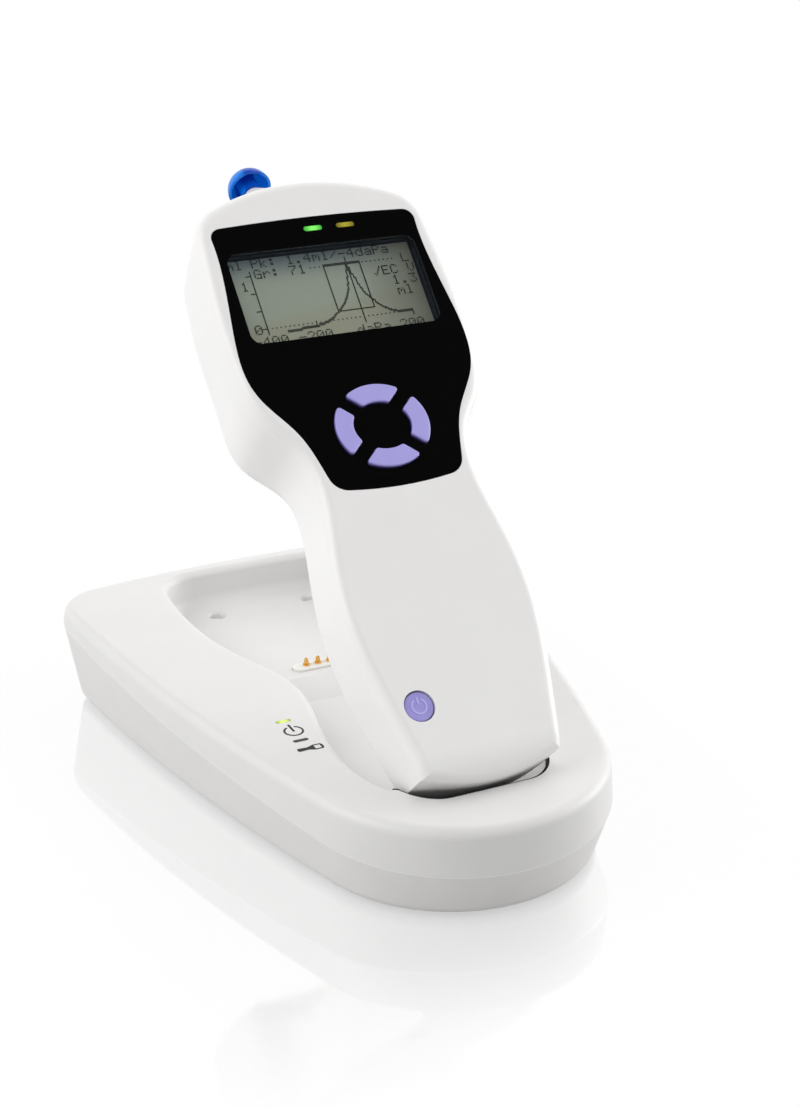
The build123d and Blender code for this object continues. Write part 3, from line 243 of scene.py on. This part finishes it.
# ---------------------------------------------------------------------------
# Cradle base
# The lower half of the charger: white ABS, injection moulded with a spark
# eroded grain. Along the line where it meets the cover runs a glossier band,
# painted lighter as a painted highlight.

parting_z = 22.2
parting_slope = 0.0667


def grain(place, size, detail=2.0):
    """Noise with lumps of that size in millimetres, from 0 to 1 about 0.5."""
    return place.node("ShaderNodeTexNoise", {}, {"Vector": place, "Scale": 1000 / size, "Detail": detail})


def bumps(height, depth, strength=1.0):
    """Surface relief of that depth in millimetres."""
    return height.node("ShaderNodeBump", {}, {"Height": height, "Distance": depth / 1000, "Strength": strength})


def axes(place):
    """x, y and z in millimetres."""
    return [place.node("ShaderNodeSeparateXYZ", {}, {0: place}, axis) * 1000 for axis in ("X", "Y", "Z")]


def finish(name, paint, **fixed):
    """A material of one Principled shader. paint gives what changes over the surface, fixed what doesn't."""
    material = bpy.data.materials.new(name)
    material.use_nodes = True
    material.node_tree.nodes.clear()
    start = Field(material.node_tree)
    place = start.node("ShaderNodeTexCoord", output="Object")
    values = {key.replace("_", " ").replace("Ior", "IOR"): value for key, value in fixed.items()}
    values.update(paint(place))
    shader = start.node("ShaderNodeBsdfPrincipled", {}, values)
    start.node("ShaderNodeOutputMaterial", {}, {"Surface": shader})
    return material


def dress(node, material):
    """Gives a CAD node its finish."""
    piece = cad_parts[node]
    piece.data.materials.clear()
    piece.data.materials.append(material)
    return piece


def base_paint(place):
    x, y, z = axes(place)
    below = parting_z + parting_slope * y - z
    # Painted highlight: a lighter, glossier band along the parting line with the cover
    parting_highlight = 1 - rise(abs(below - 0.35), 0.10, 0.42)
    fine = grain(place, 0.45, 3.0)
    soft = grain(place, 9.0)
    plain = between(soft, tone(226, 225, 223), tone(232, 231, 229))
    return {
        "Base Color": between(parting_highlight * 0.7, plain, tone(250, 250, 249)),
        "Roughness": 0.50 - 0.18 * parting_highlight + 0.10 * (fine - 0.5),
        "Normal": bumps(fine * (1 - parting_highlight), 0.05, 0.9),
    }


dress("cradle_base", finish("grained_white", base_paint))


# ---------------------------------------------------------------------------
# Cradle cover
# The upper half of the charger, satin white ABS, with the handset's resting
# place and two round dimples in its floor. Four screws draw it onto the base.

def satin_paint(light, dark, rough):
    def paint(place):
        fine = grain(place, 0.30, 3.0)
        soft = grain(place, 14.0)
        return {
            "Base Color": between(soft, dark, light),
            "Roughness": rough + 0.10 * (fine - 0.5) + 0.05 * (soft - 0.5),
            "Normal": bumps(fine, 0.012, 0.5),
        }
    return paint


cover_white = finish("satin_white", satin_paint(tone(227, 226, 225), tone(222, 221, 220), 0.40))
dress("cradle_cover", cover_white)


# ---------------------------------------------------------------------------
# Marks on the cradle
# Two black pad-printed signs beside the light bars: one for power, one with
# the handset's outline for its battery. The ink stands a hair proud.

top_z = 31.7
top_slope = 0.0214
ink_thick = 0.03


def arc(centre, radius, start, end, count):
    """Points on an arc, with the angles in degrees."""
    turns = [math.radians(start + (end - start) * step / count) for step in range(count + 1)]
    return [(centre[0] + radius * math.cos(turn), centre[1] + radius * math.sin(turn)) for turn in turns]


def ring_with_gap(centre, radius, width, gap):
    """A ring's outline, open by gap degrees each side of its top."""
    outer = arc(centre, radius + width / 2, 90 + gap, 450 - gap, 60)
    return outer + arc(centre, radius - width / 2, 450 - gap, 90 + gap, 60)


def bar(centre, width, length, ends=0.0):
    """An upright bar, with ends rounded by that radius."""
    x, y = centre
    if not ends:
        return [(x - width / 2, y - length / 2), (x + width / 2, y - length / 2),
                (x + width / 2, y + length / 2), (x - width / 2, y + length / 2)]
    low, high = y - length / 2 + ends, y + length / 2 - ends
    return arc((x, low), ends, 180, 360, 12) + arc((x, high), ends, 0, 180, 12)


def plates(name, outlines, put, thick, body, material):
    """Thin plates from closed outlines. put(x, y, lift) gives each corner's place."""
    points, faces = [], []
    for outline in outlines:
        first, count = len(points), len(outline)
        points += [put(x, y, lift) for lift in (0, thick) for x, y in outline]
        faces.append(tuple(first + count + step for step in range(count)))
        faces.append(tuple(first + step for step in reversed(range(count))))
        for step in range(count):
            after = (step + 1) % count
            faces.append((first + step, first + after, first + count + after, first + count + step))
    made = shown(name, points, faces, False)
    made.data.materials.append(material)
    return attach(made, body)


def on_cover(x, y, lift):
    return (x, y, top_z + top_slope * y + 0.005 + lift)


def mottled(size, dark, light, rough, spread, detail=3.0):
    """A paint that wanders between two tones, with its roughness."""
    def paint(place):
        patch = grain(place, size, detail)
        return {"Base Color": between(patch, dark, light), "Roughness": rough + spread * patch}
    return paint


ink = finish("black_ink", mottled(0.25, tone(12, 12, 16), tone(30, 30, 34), 0.42, 0.2))
power_sign = (-36.65, -26.1)
plates("power_sign", [ring_with_gap(power_sign, 2.75, 0.62, 24), bar((power_sign[0], -24.15), 0.72, 4.6)],
       on_cover, ink_thick, "cradle", ink)

sign_x, sign_y = -36.4, -37.75
butt, neck, head, tip = -3.8, -0.7, 1.2, 3.6
half = [(butt - 0.35, 0.0), (butt, 0.95), (neck, 0.75), (head, 1.55), (tip, 1.55),
        (tip + 0.45, 0.6), (tip + 0.45, 0.0), (tip - 0.35, 0.0), (tip - 0.35, 0.98),
        (head + 0.15, 0.98), (head + 0.15, 0.0)]
halves = [[(sign_x + x, sign_y - y * side) for x, y in (half if side < 0 else reversed(half))]
          for side in (-1, 1)]
plates("handset_sign", halves, on_cover, ink_thick, "cradle", ink)


# ---------------------------------------------------------------------------
# Light bars in the cradle
# Two clear plastic bars, flush with the deck. The rear one is lit yellow
# green while the cradle has power, the front one is dark.

charge_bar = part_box("charge_light")
bar_middle = (charge_bar[0] + charge_bar[1]) / 2 * 1000


def glow_paint(middle_x, bright, dim, reach):
    def paint(place):
        x, y, z = axes(place)
        off = rise(abs(x - middle_x), 0.0, reach)
        fine = grain(place, 0.4, 2.0)
        return {
            "Base Color": between(off, bright, dim),
            "Emission Color": between(off, bright, dim),
            "Roughness": 0.22 + 0.12 * fine,
        }
    return paint


charge_glow = finish("charge_glow", glow_paint(bar_middle.x, tone(200, 226, 84), tone(120, 150, 52), 2.4),
                     Emission_Strength=0.55)
dress("charge_light", charge_glow)


dark_lens = finish("dark_lens", mottled(0.4, tone(20, 20, 22), tone(38, 38, 40), 0.18, 0.14, 2.0))
dress("ready_light", dark_lens)


# ---------------------------------------------------------------------------
# Foot slot liner, rubber feet
# The slot is lined with black moulded plastic, with two ribs at its bottom.
# The feet are dies of grey rubber pressed into their seats.

def black_plastic_paint(place):
    fine = grain(place, 0.5, 3.0)
    return {
        "Base Color": between(fine, tone(14, 14, 15), tone(26, 26, 27)),
        "Roughness": 0.48 + 0.16 * (fine - 0.5),
        "Normal": bumps(fine, 0.03, 0.7),
    }


black_plastic = finish("black_plastic", black_plastic_paint, Specular_Ior_Level=0.12)
dress("socket_liner", black_plastic)


def rubber_paint(place):
    fine = grain(place, 0.35, 4.0)
    dust = grain(place, 3.0, 3.0)
    return {
        "Base Color": between(rise(dust, 0.4, 0.75), tone(62, 62, 64), tone(92, 91, 89)),
        "Roughness": 0.78 + 0.15 * (fine - 0.5),
        "Normal": bumps(fine, 0.04, 0.8),
    }


dress("cradle_feet", finish("grey_rubber", rubber_paint))


# ---------------------------------------------------------------------------
# Ballast and screws
# A bare steel plate keeps the light cradle from tipping. The screws are zinc
# plated, with a trace of blue in the plating.

def steel_paint(place):
    x, y, z = axes(place)
    lines = place.node("ShaderNodeCombineXYZ", {}, {0: x * 0.4, 1: y * 9.0, 2: z * 9.0})
    rolled = place.node("ShaderNodeTexNoise", {}, {"Vector": lines, "Scale": 1.0, "Detail": 4.0})
    stain = grain(place, 12.0, 3.0)
    return {
        "Base Color": between(stain, tone(158, 158, 160), tone(186, 186, 187)),
        "Roughness": 0.34 + 0.2 * rolled,
        "Normal": bumps(rolled, 0.02, 0.6),
    }


steel = finish("rolled_steel", steel_paint, Metallic=1.0)
dress("ballast_plate", steel)


zinc = finish("zinc_plate", mottled(1.5, tone(196, 200, 208), tone(222, 220, 212), 0.26, 0.16), Metallic=1.0)
dress("cradle_screws", zinc)


# ---------------------------------------------------------------------------
# Charging board
# A glass fibre board with green lacquer over its copper tracks. It carries
# the contact block from below.

def board_paint(place):
    x, y, z = axes(place)
    weave = place.node("ShaderNodeTexBrick", {"offset": 0.5}, {
        "Vector": place * 1000, "Color1": tone(18, 92, 52), "Color2": tone(22, 104, 60),
        "Mortar": tone(40, 128, 78), "Scale": 0.55, "Mortar Size": 0.035, "Brick Width": 1.3, "Row Height": 0.5,
    })
    cloth = grain(place, 0.6, 2.0)
    return {
        "Base Color": between(cloth * 0.3, weave, tone(12, 70, 40)),
        "Roughness": 0.26 + 0.14 * cloth,
        "Normal": bumps(cloth, 0.02, 0.5),
    }


board_green = finish("board_lacquer", board_paint)
for board in ("charging_board", "key_board", "power_switch_board", "main_board"):
    dress(board, board_green)


# ---------------------------------------------------------------------------
# Contact block and spring pins
# A white nylon pad stands a little over the pocket's floor and holds three
# turned barrels. A gold plated pin slides in each, on its spring.

nylon = finish("nylon_white", satin_paint(tone(238, 237, 232), tone(232, 231, 226), 0.44))
dress("contact_block", nylon)


gold = finish("gold_plate", mottled(0.5, tone(226, 170, 88), tone(240, 192, 110), 0.20, 0.12), Metallic=1.0)
dress("pogo_barrels", gold)
for pin in ("pogo_pin_left", "pogo_pin_middle", "pogo_pin_right"):
    dress(pin, gold)


# ---------------------------------------------------------------------------
# Power inlet
# A black moulded jack, open at the cradle's back, with a nickel plated pin
# in the middle of its bore.

jack_x, jack_z = 30.0, 11.5
jack_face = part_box("dc_socket")[1].y * 1000
dress("dc_socket", black_plastic)


def turned(name, profile, place_at, count, body, material, smooth=True):
    """A lathe form from (radius, distance) points; place_at(x, y, distance) gives each point's place."""
    points, faces = [], []
    for radius, distance in profile:
        for step in range(count):
            turn = 2 * math.pi * step / count
            points.append(place_at(radius * math.cos(turn), radius * math.sin(turn), distance))
    rings = len(profile)
    for ring in range(rings - 1):
        for step in range(count):
            after = (step + 1) % count
            faces.append((ring * count + step, ring * count + after,
                          (ring + 1) * count + after, (ring + 1) * count + step))
    faces.append(tuple(reversed(range(count))))
    faces.append(tuple((rings - 1) * count + step for step in range(count)))
    made = shown(name, points, faces, smooth)
    made.data.materials.append(material)
    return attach(made, body)


nickel_paint = mottled(1.0, tone(186, 184, 178), tone(208, 206, 200), 0.22, 0.14)
nickel = finish("nickel_plate", nickel_paint, Metallic=1.0)
turned("jack_pin", [(1.0, 0.0), (1.0, 6.6), (0.9, 7.0), (0.55, 7.3), (0.1, 7.4)],
       lambda x, z, run: (jack_x + x, jack_face - 8.9 + run, jack_z + z), 32, "cradle", nickel)


# ---------------------------------------------------------------------------
# Handset shells
# Two white ABS shells with a silky satin surface, held by six screws from
# behind. Their joint runs round the sides and is hardly seen.

shell_white = finish("silky_white", satin_paint(tone(241, 240, 239), tone(237, 236, 235), 0.34))
dress("front_shell", shell_white)
dress("rear_shell", shell_white)
dress("handset_screws", zinc)

ring_y, ring_z = -10.5, 115.4
lean = math.radians(43.8)


def on_handset(u, v, depth):
    """Where a point of the handset is: across, up its length, and behind its face."""
    return (u, ring_y + math.sin(lean) * v + math.cos(lean) * depth,
            ring_z + math.cos(lean) * v - math.sin(lean) * depth)


def handset_axes(place):
    """Across, up the handset's length, and behind its face, in millimetres."""
    x, y, z = axes(place)
    dy, dz = y - ring_y, z - ring_z
    return x, dy * math.sin(lean) + dz * math.cos(lean), dy * math.cos(lean) - dz * math.sin(lean)


# ---------------------------------------------------------------------------
# Black overlay
# A polycarbonate sheet, back-printed black, stuck in the face's recess. Its
# front is glossy, with the slight waviness of a stuck sheet.

def overlay_paint(place):
    wave = grain(place, 22.0, 1.0)
    fine = grain(place, 0.8, 3.0)
    return {
        "Base Color": between(fine, tone(3, 3, 4), tone(7, 7, 8)),
        "Roughness": 0.10 + 0.05 * fine,
        "Normal": bumps(wave, 0.25, 0.25),
    }


dress("display_overlay", finish("black_overlay", overlay_paint, Specular_Ior_Level=0.35))


# ---------------------------------------------------------------------------
# Window
# Clear polycarbonate, flush in the overlay.

window_finish = bpy.data.materials.new("clear_window")
window_finish.use_nodes = True
window_finish.node_tree.nodes.clear()
pane_start = Field(window_finish.node_tree)
pane_place = pane_start.node("ShaderNodeTexCoord", output="Object")
pane_haze = grain(pane_place, 5.0, 3.0)
pane_gloss = pane_start.node("ShaderNodeBsdfPrincipled", {}, {
    "Base Color": between(pane_haze, tone(40, 44, 52), tone(58, 62, 70)),
    "Roughness": 0.04 + 0.03 * pane_haze,
})
pane_clear = pane_start.node("ShaderNodeBsdfTransparent", {}, {"Color": (0.93, 0.95, 0.95, 1.0)})
fresnel = pane_start.node("ShaderNodeFresnel", {}, {"IOR": 1.5})
pane_mix = pane_start.node("ShaderNodeMixShader", {}, {0: 0.03 + 0.6 * fresnel, 1: pane_clear, 2: pane_gloss})
pane_start.node("ShaderNodeOutputMaterial", {}, {"Surface": pane_mix})
dress("display_window", window_finish)


# ---------------------------------------------------------------------------
# Display
# A grey-green reflective dot display of 128 by 64 dots behind the window, in
# a black frame, with a light plate behind it. It shows a finished ear test.

lcd_depth = 5.5
dot_wide, dot_high = 0.478, 0.4605
dots_left, dots_top = -30.1, 62.45


def glass_paint(place):
    u, v, depth = handset_axes(place)
    # Painted reflection: a bluish sky above a soft slanted horizon, pale olive below it, and painted shade
    # darkening the display towards its right. The same colours also glow faintly.
    reflected_horizon = rise(v - 0.13 * u, 40.0, 47.0)
    reflected_sky = rise(v, 52.0, 63.0)
    fine = grain(place, 1.2, 2.0)
    reflection_low_tone = between(fine * 0.4, tone(214, 211, 186), tone(205, 204, 182))
    reflection_high_tone = between(reflected_sky, tone(212, 217, 199), tone(156, 167, 170))
    reflection_and_shade = between(rise(u, 4.0, 34.0), between(reflected_horizon, reflection_low_tone, reflection_high_tone), tone(166, 166, 150))
    return {
        "Base Color": reflection_and_shade,
        "Emission Color": reflection_and_shade,
        "Roughness": 0.42 + 0.06 * fine,
    }


dress("lcd_panel", finish("display_glass", glass_paint, Emission_Strength=0.10))


border_and_frame_shadow = finish("border_and_frame_shadow", mottled(0.8, tone(44, 50, 62), tone(54, 60, 72), 0.3, 0.1, 2.0))
# Dark bands along the top and right of the display stand for the frame's lip and for painted shade, the shadow the
# frame casts on the display there.
seen_left, seen_right, seen_low, seen_high = -30.9, 31.0, 32.2, 62.3
rim = 2.2
frame_and_shadow_bands = [
    [(seen_left - rim, seen_high), (seen_right + rim, seen_high),
     (seen_right + rim, seen_high + rim), (seen_left - rim, seen_high + rim)],
    [(seen_right, seen_low), (seen_right + rim, seen_low), (seen_right + rim, seen_high), (seen_right, seen_high)],
]
dress("lcd_frame", border_and_frame_shadow)


dark_dots = finish("dark_dots", mottled(0.5, tone(52, 58, 54), tone(66, 72, 66), 0.5, 0.1, 2.0))

# Five columns for each sign, the lowest bit is the top dot
signs = {
    "0": (0x3E, 0x51, 0x49, 0x45, 0x3E), "1": (0x00, 0x42, 0x7F, 0x40, 0x00), "2": (0x42, 0x61, 0x51, 0x49, 0x46),
    "3": (0x21, 0x41, 0x45, 0x4B, 0x31), "4": (0x18, 0x14, 0x12, 0x7F, 0x10), "7": (0x01, 0x71, 0x09, 0x05, 0x03),
    "P": (0x7F, 0x09, 0x09, 0x09, 0x06), "k": (0x7F, 0x10, 0x28, 0x44, 0x00), ":": (0x00, 0x36, 0x36, 0x00, 0x00),
    ".": (0x00, 0x60, 0x60, 0x00, 0x00), "m": (0x7C, 0x04, 0x18, 0x04, 0x78), "l": (0x00, 0x41, 0x7F, 0x40, 0x00),
    "/": (0x20, 0x10, 0x08, 0x04, 0x02), "-": (0x08, 0x08, 0x08, 0x08, 0x08), "d": (0x38, 0x44, 0x44, 0x48, 0x7F),
    "a": (0x20, 0x54, 0x54, 0x54, 0x78), "G": (0x3E, 0x41, 0x49, 0x49, 0x7A), "r": (0x7C, 0x08, 0x04, 0x04, 0x08),
    "E": (0x7F, 0x49, 0x49, 0x49, 0x41), "C": (0x3E, 0x41, 0x41, 0x41, 0x22), "V": (0x1F, 0x20, 0x40, 0x20, 0x1F),
    "L": (0x7F, 0x40, 0x40, 0x40, 0x40), "*": (0x20, 0x40, 0x30, 0x0C, 0x03), " ": (0, 0, 0, 0, 0),
}
dots = set()


def write(words, column, row):
    for number, sign in enumerate(words):
        for step, bits in enumerate(signs[sign]):
            dots.update((column + number * 6 + step, row + bit) for bit in range(7) if bits >> bit & 1)


def draw(start, end, every=1):
    reach = max(abs(end[0] - start[0]), abs(end[1] - start[1]), 1)
    for step in range(0, reach + 1, every):
        dots.add((round(start[0] + (end[0] - start[0]) * step / reach),
                  round(start[1] + (end[1] - start[1]) * step / reach)))


write("Pk: 1.4ml/-4daPa", 18, 0)
write("ml", 1, 0)
write("Gr: 71", 18, 8)
write("L", 120, 8)
write("*EC", 98, 16)
write("V", 122, 16)
write("1.3", 109, 24)
write("ml", 110, 32)
write("1", 7, 16)
write("0", 7, 48)
write("-400", 4, 57)
write("-200", 34, 57)
write("daPa", 74, 57)
write("200", 104, 57)
draw((15, 9), (15, 55))
for row in (12, 25, 38, 51):
    draw((12, row), (15, row))
for column in (48, 81, 115):
    draw((column, 50), (column, 54))
draw((15, 51), (115, 51), 3)
draw((56, 11), (115, 11), 3)
draw((65, 11), (65, 45))
draw((90, 11), (90, 45))
draw((65, 45), (90, 45))
draw((65, 10), (90, 10))
draw((65, 11), (90, 11))
draw((81, 6), (81, 55))
trace = [(28, 54), (47, 53), (56, 51), (61, 48), (67, 43), (70, 40), (73, 36), (76, 31), (78, 24), (80, 12),
         (81, 12), (84, 24), (86, 32), (90, 38), (95, 44), (100, 48), (106, 50), (115, 50)]
for thickness in (0, 1):
    for start, end in zip(trace, trace[1:]):
        draw((start[0], start[1] + thickness), (end[0], end[1] + thickness))

dot_points, dot_faces = [], []
dot_share = 0.43
for column, row in sorted(dots):
    middle_u = dots_left + dot_wide * (column + 0.5)
    middle_v = dots_top - dot_high * (row + 0.5)
    first = len(dot_points)
    for side_u, side_v in ((-1, -1), (1, -1), (1, 1), (-1, 1)):
        dot_points.append(on_handset(middle_u + side_u * dot_share * dot_wide,
                                     middle_v + side_v * dot_share * dot_high, lcd_depth - 0.12))
    dot_faces.append((first, first + 1, first + 2, first + 3))
display_dots = shown("display_dots", dot_points, dot_faces, False)
display_dots.data.materials.append(dark_dots)
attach(display_dots, "handset")
# The dark bands of frame lip and painted frame shadow, just in front of the display
plates("border_and_frame_shadow", frame_and_shadow_bands, lambda u, v, lift: on_handset(u, v, lcd_depth - 0.02 - lift), 0.25,
       "handset", border_and_frame_shadow)


def plate_paint(place):
    fine = grain(place, 2.0, 2.0)
    return {
        "Base Color": between(fine, tone(214, 222, 206), tone(226, 232, 216)),
        "Roughness": 0.4 + 0.1 * fine,
    }


dress("backlight_plate", finish("light_plate", plate_paint))


# ---------------------------------------------------------------------------
# Status lights
# Two narrow bars of diffusing plastic over the display. The left one is lit
# green, the right one glows dimly amber.

for node, bright, dim, strength, slot in (
    ("status_light_left", tone(120, 226, 96), tone(52, 160, 52), 0.50, "light_green"),
    ("status_light_right", tone(168, 156, 44), tone(112, 104, 26), 0.22, "light_amber"),
):
    low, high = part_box(node)
    glow = finish(node, glow_paint((low.x + high.x) * 500, bright, dim, 3.2), Emission_Strength=strength)
    dress(node, glow)


# ---------------------------------------------------------------------------
# Keys and mat
# Four curved keys of lavender translucent plastic. Their colour darkens down
# their sides, a painted shade. They press on a silicone mat over the switch board.

def key_paint(light, side_shade_tone, face_depth):
    def paint(place):
        u, v, depth = handset_axes(place)
        # Painted shade: the colour darkens down the sides, below the face
        side = rise(depth, face_depth + 0.05, face_depth + 1.3)
        fine = grain(place, 0.35, 3.0)
        soft = grain(place, 5.0)
        face = between(soft, light, tone(170, 164, 230))
        return {
            "Base Color": between(side, face, side_shade_tone),
            "Roughness": 0.34 + 0.10 * (fine - 0.5),
            "Normal": bumps(fine, 0.012, 0.5),
        }
    return paint


key_lavender = finish("lavender_keys", key_paint(tone(176, 170, 235), tone(104, 90, 176), -1.2),
                      Subsurface_Weight=0.12, Subsurface_Radius=(0.0012, 0.0012, 0.0020))
for side in ("up", "down", "left", "right"):
    dress("key_" + side, key_lavender)


grey_silicone = finish("grey_silicone", mottled(0.6, tone(112, 113, 116), tone(126, 127, 130), 0.7, 0.1))
dress("keypad_mat", grey_silicone)


# ---------------------------------------------------------------------------
# Power button
# A round lavender button in its well near the handset's foot, with the power
# sign raised on it.

power_u, power_v, power_sink = -16.9, -84.9, 0.35
# Through key_paint its sides darken into the well, a painted shade
button_lavender = finish("lavender_button", key_paint(tone(150, 142, 212), tone(84, 74, 142), power_sink),
                         Subsurface_Weight=0.10, Subsurface_Radius=(0.0012, 0.0012, 0.0020))
dress("power_button", button_lavender)


relief = finish("raised_sign", mottled(0.4, tone(186, 180, 240), tone(194, 188, 246), 0.32, 0.08, 2.0))
plates("power_button_sign", [ring_with_gap((0, 0), 2.15, 0.46, 28), bar((0, 1.65), 0.46, 2.3, 0.22)],
       lambda u, v, lift: on_handset(power_u + u, power_v + v, power_sink + 0.02 - lift), 0.2,
       "power_button", relief)


# ---------------------------------------------------------------------------
# Electronics and air pump
# Behind the display lie the pressure sensor and the pump: a small motor turns
# a lead screw, which draws a rubber-faced piston in a white cylinder.

sensor_case = finish("sensor_case", satin_paint(tone(226, 226, 222), tone(214, 214, 210), 0.5))
dress("pressure_sensor", sensor_case)
dress("pump_motor", steel)
dress("pump_bracket", steel)
acetal = finish("acetal_white", satin_paint(tone(236, 234, 226), tone(226, 224, 216), 0.36))
dress("pump_cylinder", acetal)
dress("pump_piston", black_plastic)


def thread_paint(place):
    x, y, z = axes(place)
    turn = x.node("ShaderNodeMath", {"operation": "PINGPONG"}, {0: x, 1: 0.5})
    patch = grain(place, 0.8, 3.0)
    return {
        "Base Color": between(patch, tone(150, 150, 154), tone(188, 188, 190)),
        "Roughness": 0.26 + 0.12 * patch,
        "Normal": bumps(turn, 0.5, 1.0),
    }


dress("lead_screw", finish("rolled_thread", thread_paint, Metallic=1.0))


clear_silicone = finish("clear_silicone", mottled(1.5, tone(206, 214, 216), tone(222, 228, 228), 0.25, 0.15),
                        Transmission_Weight=0.55, IOR=1.41)
dress("pump_tube", clear_silicone)


# ---------------------------------------------------------------------------
# Probe
# The acoustic block sits in the collar on the handset's head, with the
# loudspeaker and microphone behind it. The white nose pulls off it.

probe_block = finish("probe_block", satin_paint(tone(150, 152, 156), tone(136, 138, 142), 0.42))
dress("probe_manifold", probe_block)
capsule = finish("capsule_can", nickel_paint, Metallic=1.0)
dress("probe_speaker", capsule)
dress("probe_microphone", capsule)
dress("nose_seal", finish("seal_rubber", black_plastic_paint))
nose_white = finish("nose_white", satin_paint(tone(234, 233, 231), tone(228, 227, 225), 0.36))
dress("probe_nose", nose_white)


# ---------------------------------------------------------------------------
# Ear tip
# A throwaway mushroom of soft translucent blue silicone, pushed over the
# probe's nozzle. Its skirt is thin and open towards the handset.

def tip_paint(place):
    x, y, z = axes(place)
    haze = grain(place, 2.5, 2.0)
    # Lighter towards the edges: partly the thinner silicone's own lighter colour, partly a painted rim light
    thin_skirt_and_rim_light = rise(abs(x) + 0.8 * haze, 2.6, 4.0)
    deep_blue = between(haze, tone(6, 84, 206), tone(14, 96, 218))
    return {
        "Base Color": between(thin_skirt_and_rim_light, deep_blue, tone(10, 142, 250)),
        "Roughness": 0.16 + 0.08 * haze,
    }


dress("ear_tip", finish("blue_silicone", tip_paint, Transmission_Weight=0.30, IOR=1.38))


# ---------------------------------------------------------------------------
# Batteries and door
# Four cells in a black tray with nickel springs, under a door in the back
# that lifts off. Its outside carries on the shell's surface.

dress("battery_door", shell_white)
dress("battery_tray", black_plastic)
dress("battery_contacts", nickel)


def cell_paint(place):
    u, v, depth = handset_axes(place)
    band = rise(v, -44.0, -43.6)
    scuff = grain(place, 2.0, 4.0)
    return {
        "Base Color": between(band, between(scuff, tone(120, 124, 130), tone(138, 142, 148)),
                              between(scuff, tone(190, 192, 196), tone(206, 208, 210))),
        "Roughness": 0.30 + 0.14 * scuff,
        "Metallic": 0.75 + 0.15 * scuff,
    }


dress("battery_cells", finish("cell_sleeve", cell_paint))
dress("charge_contacts", gold)


low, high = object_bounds()
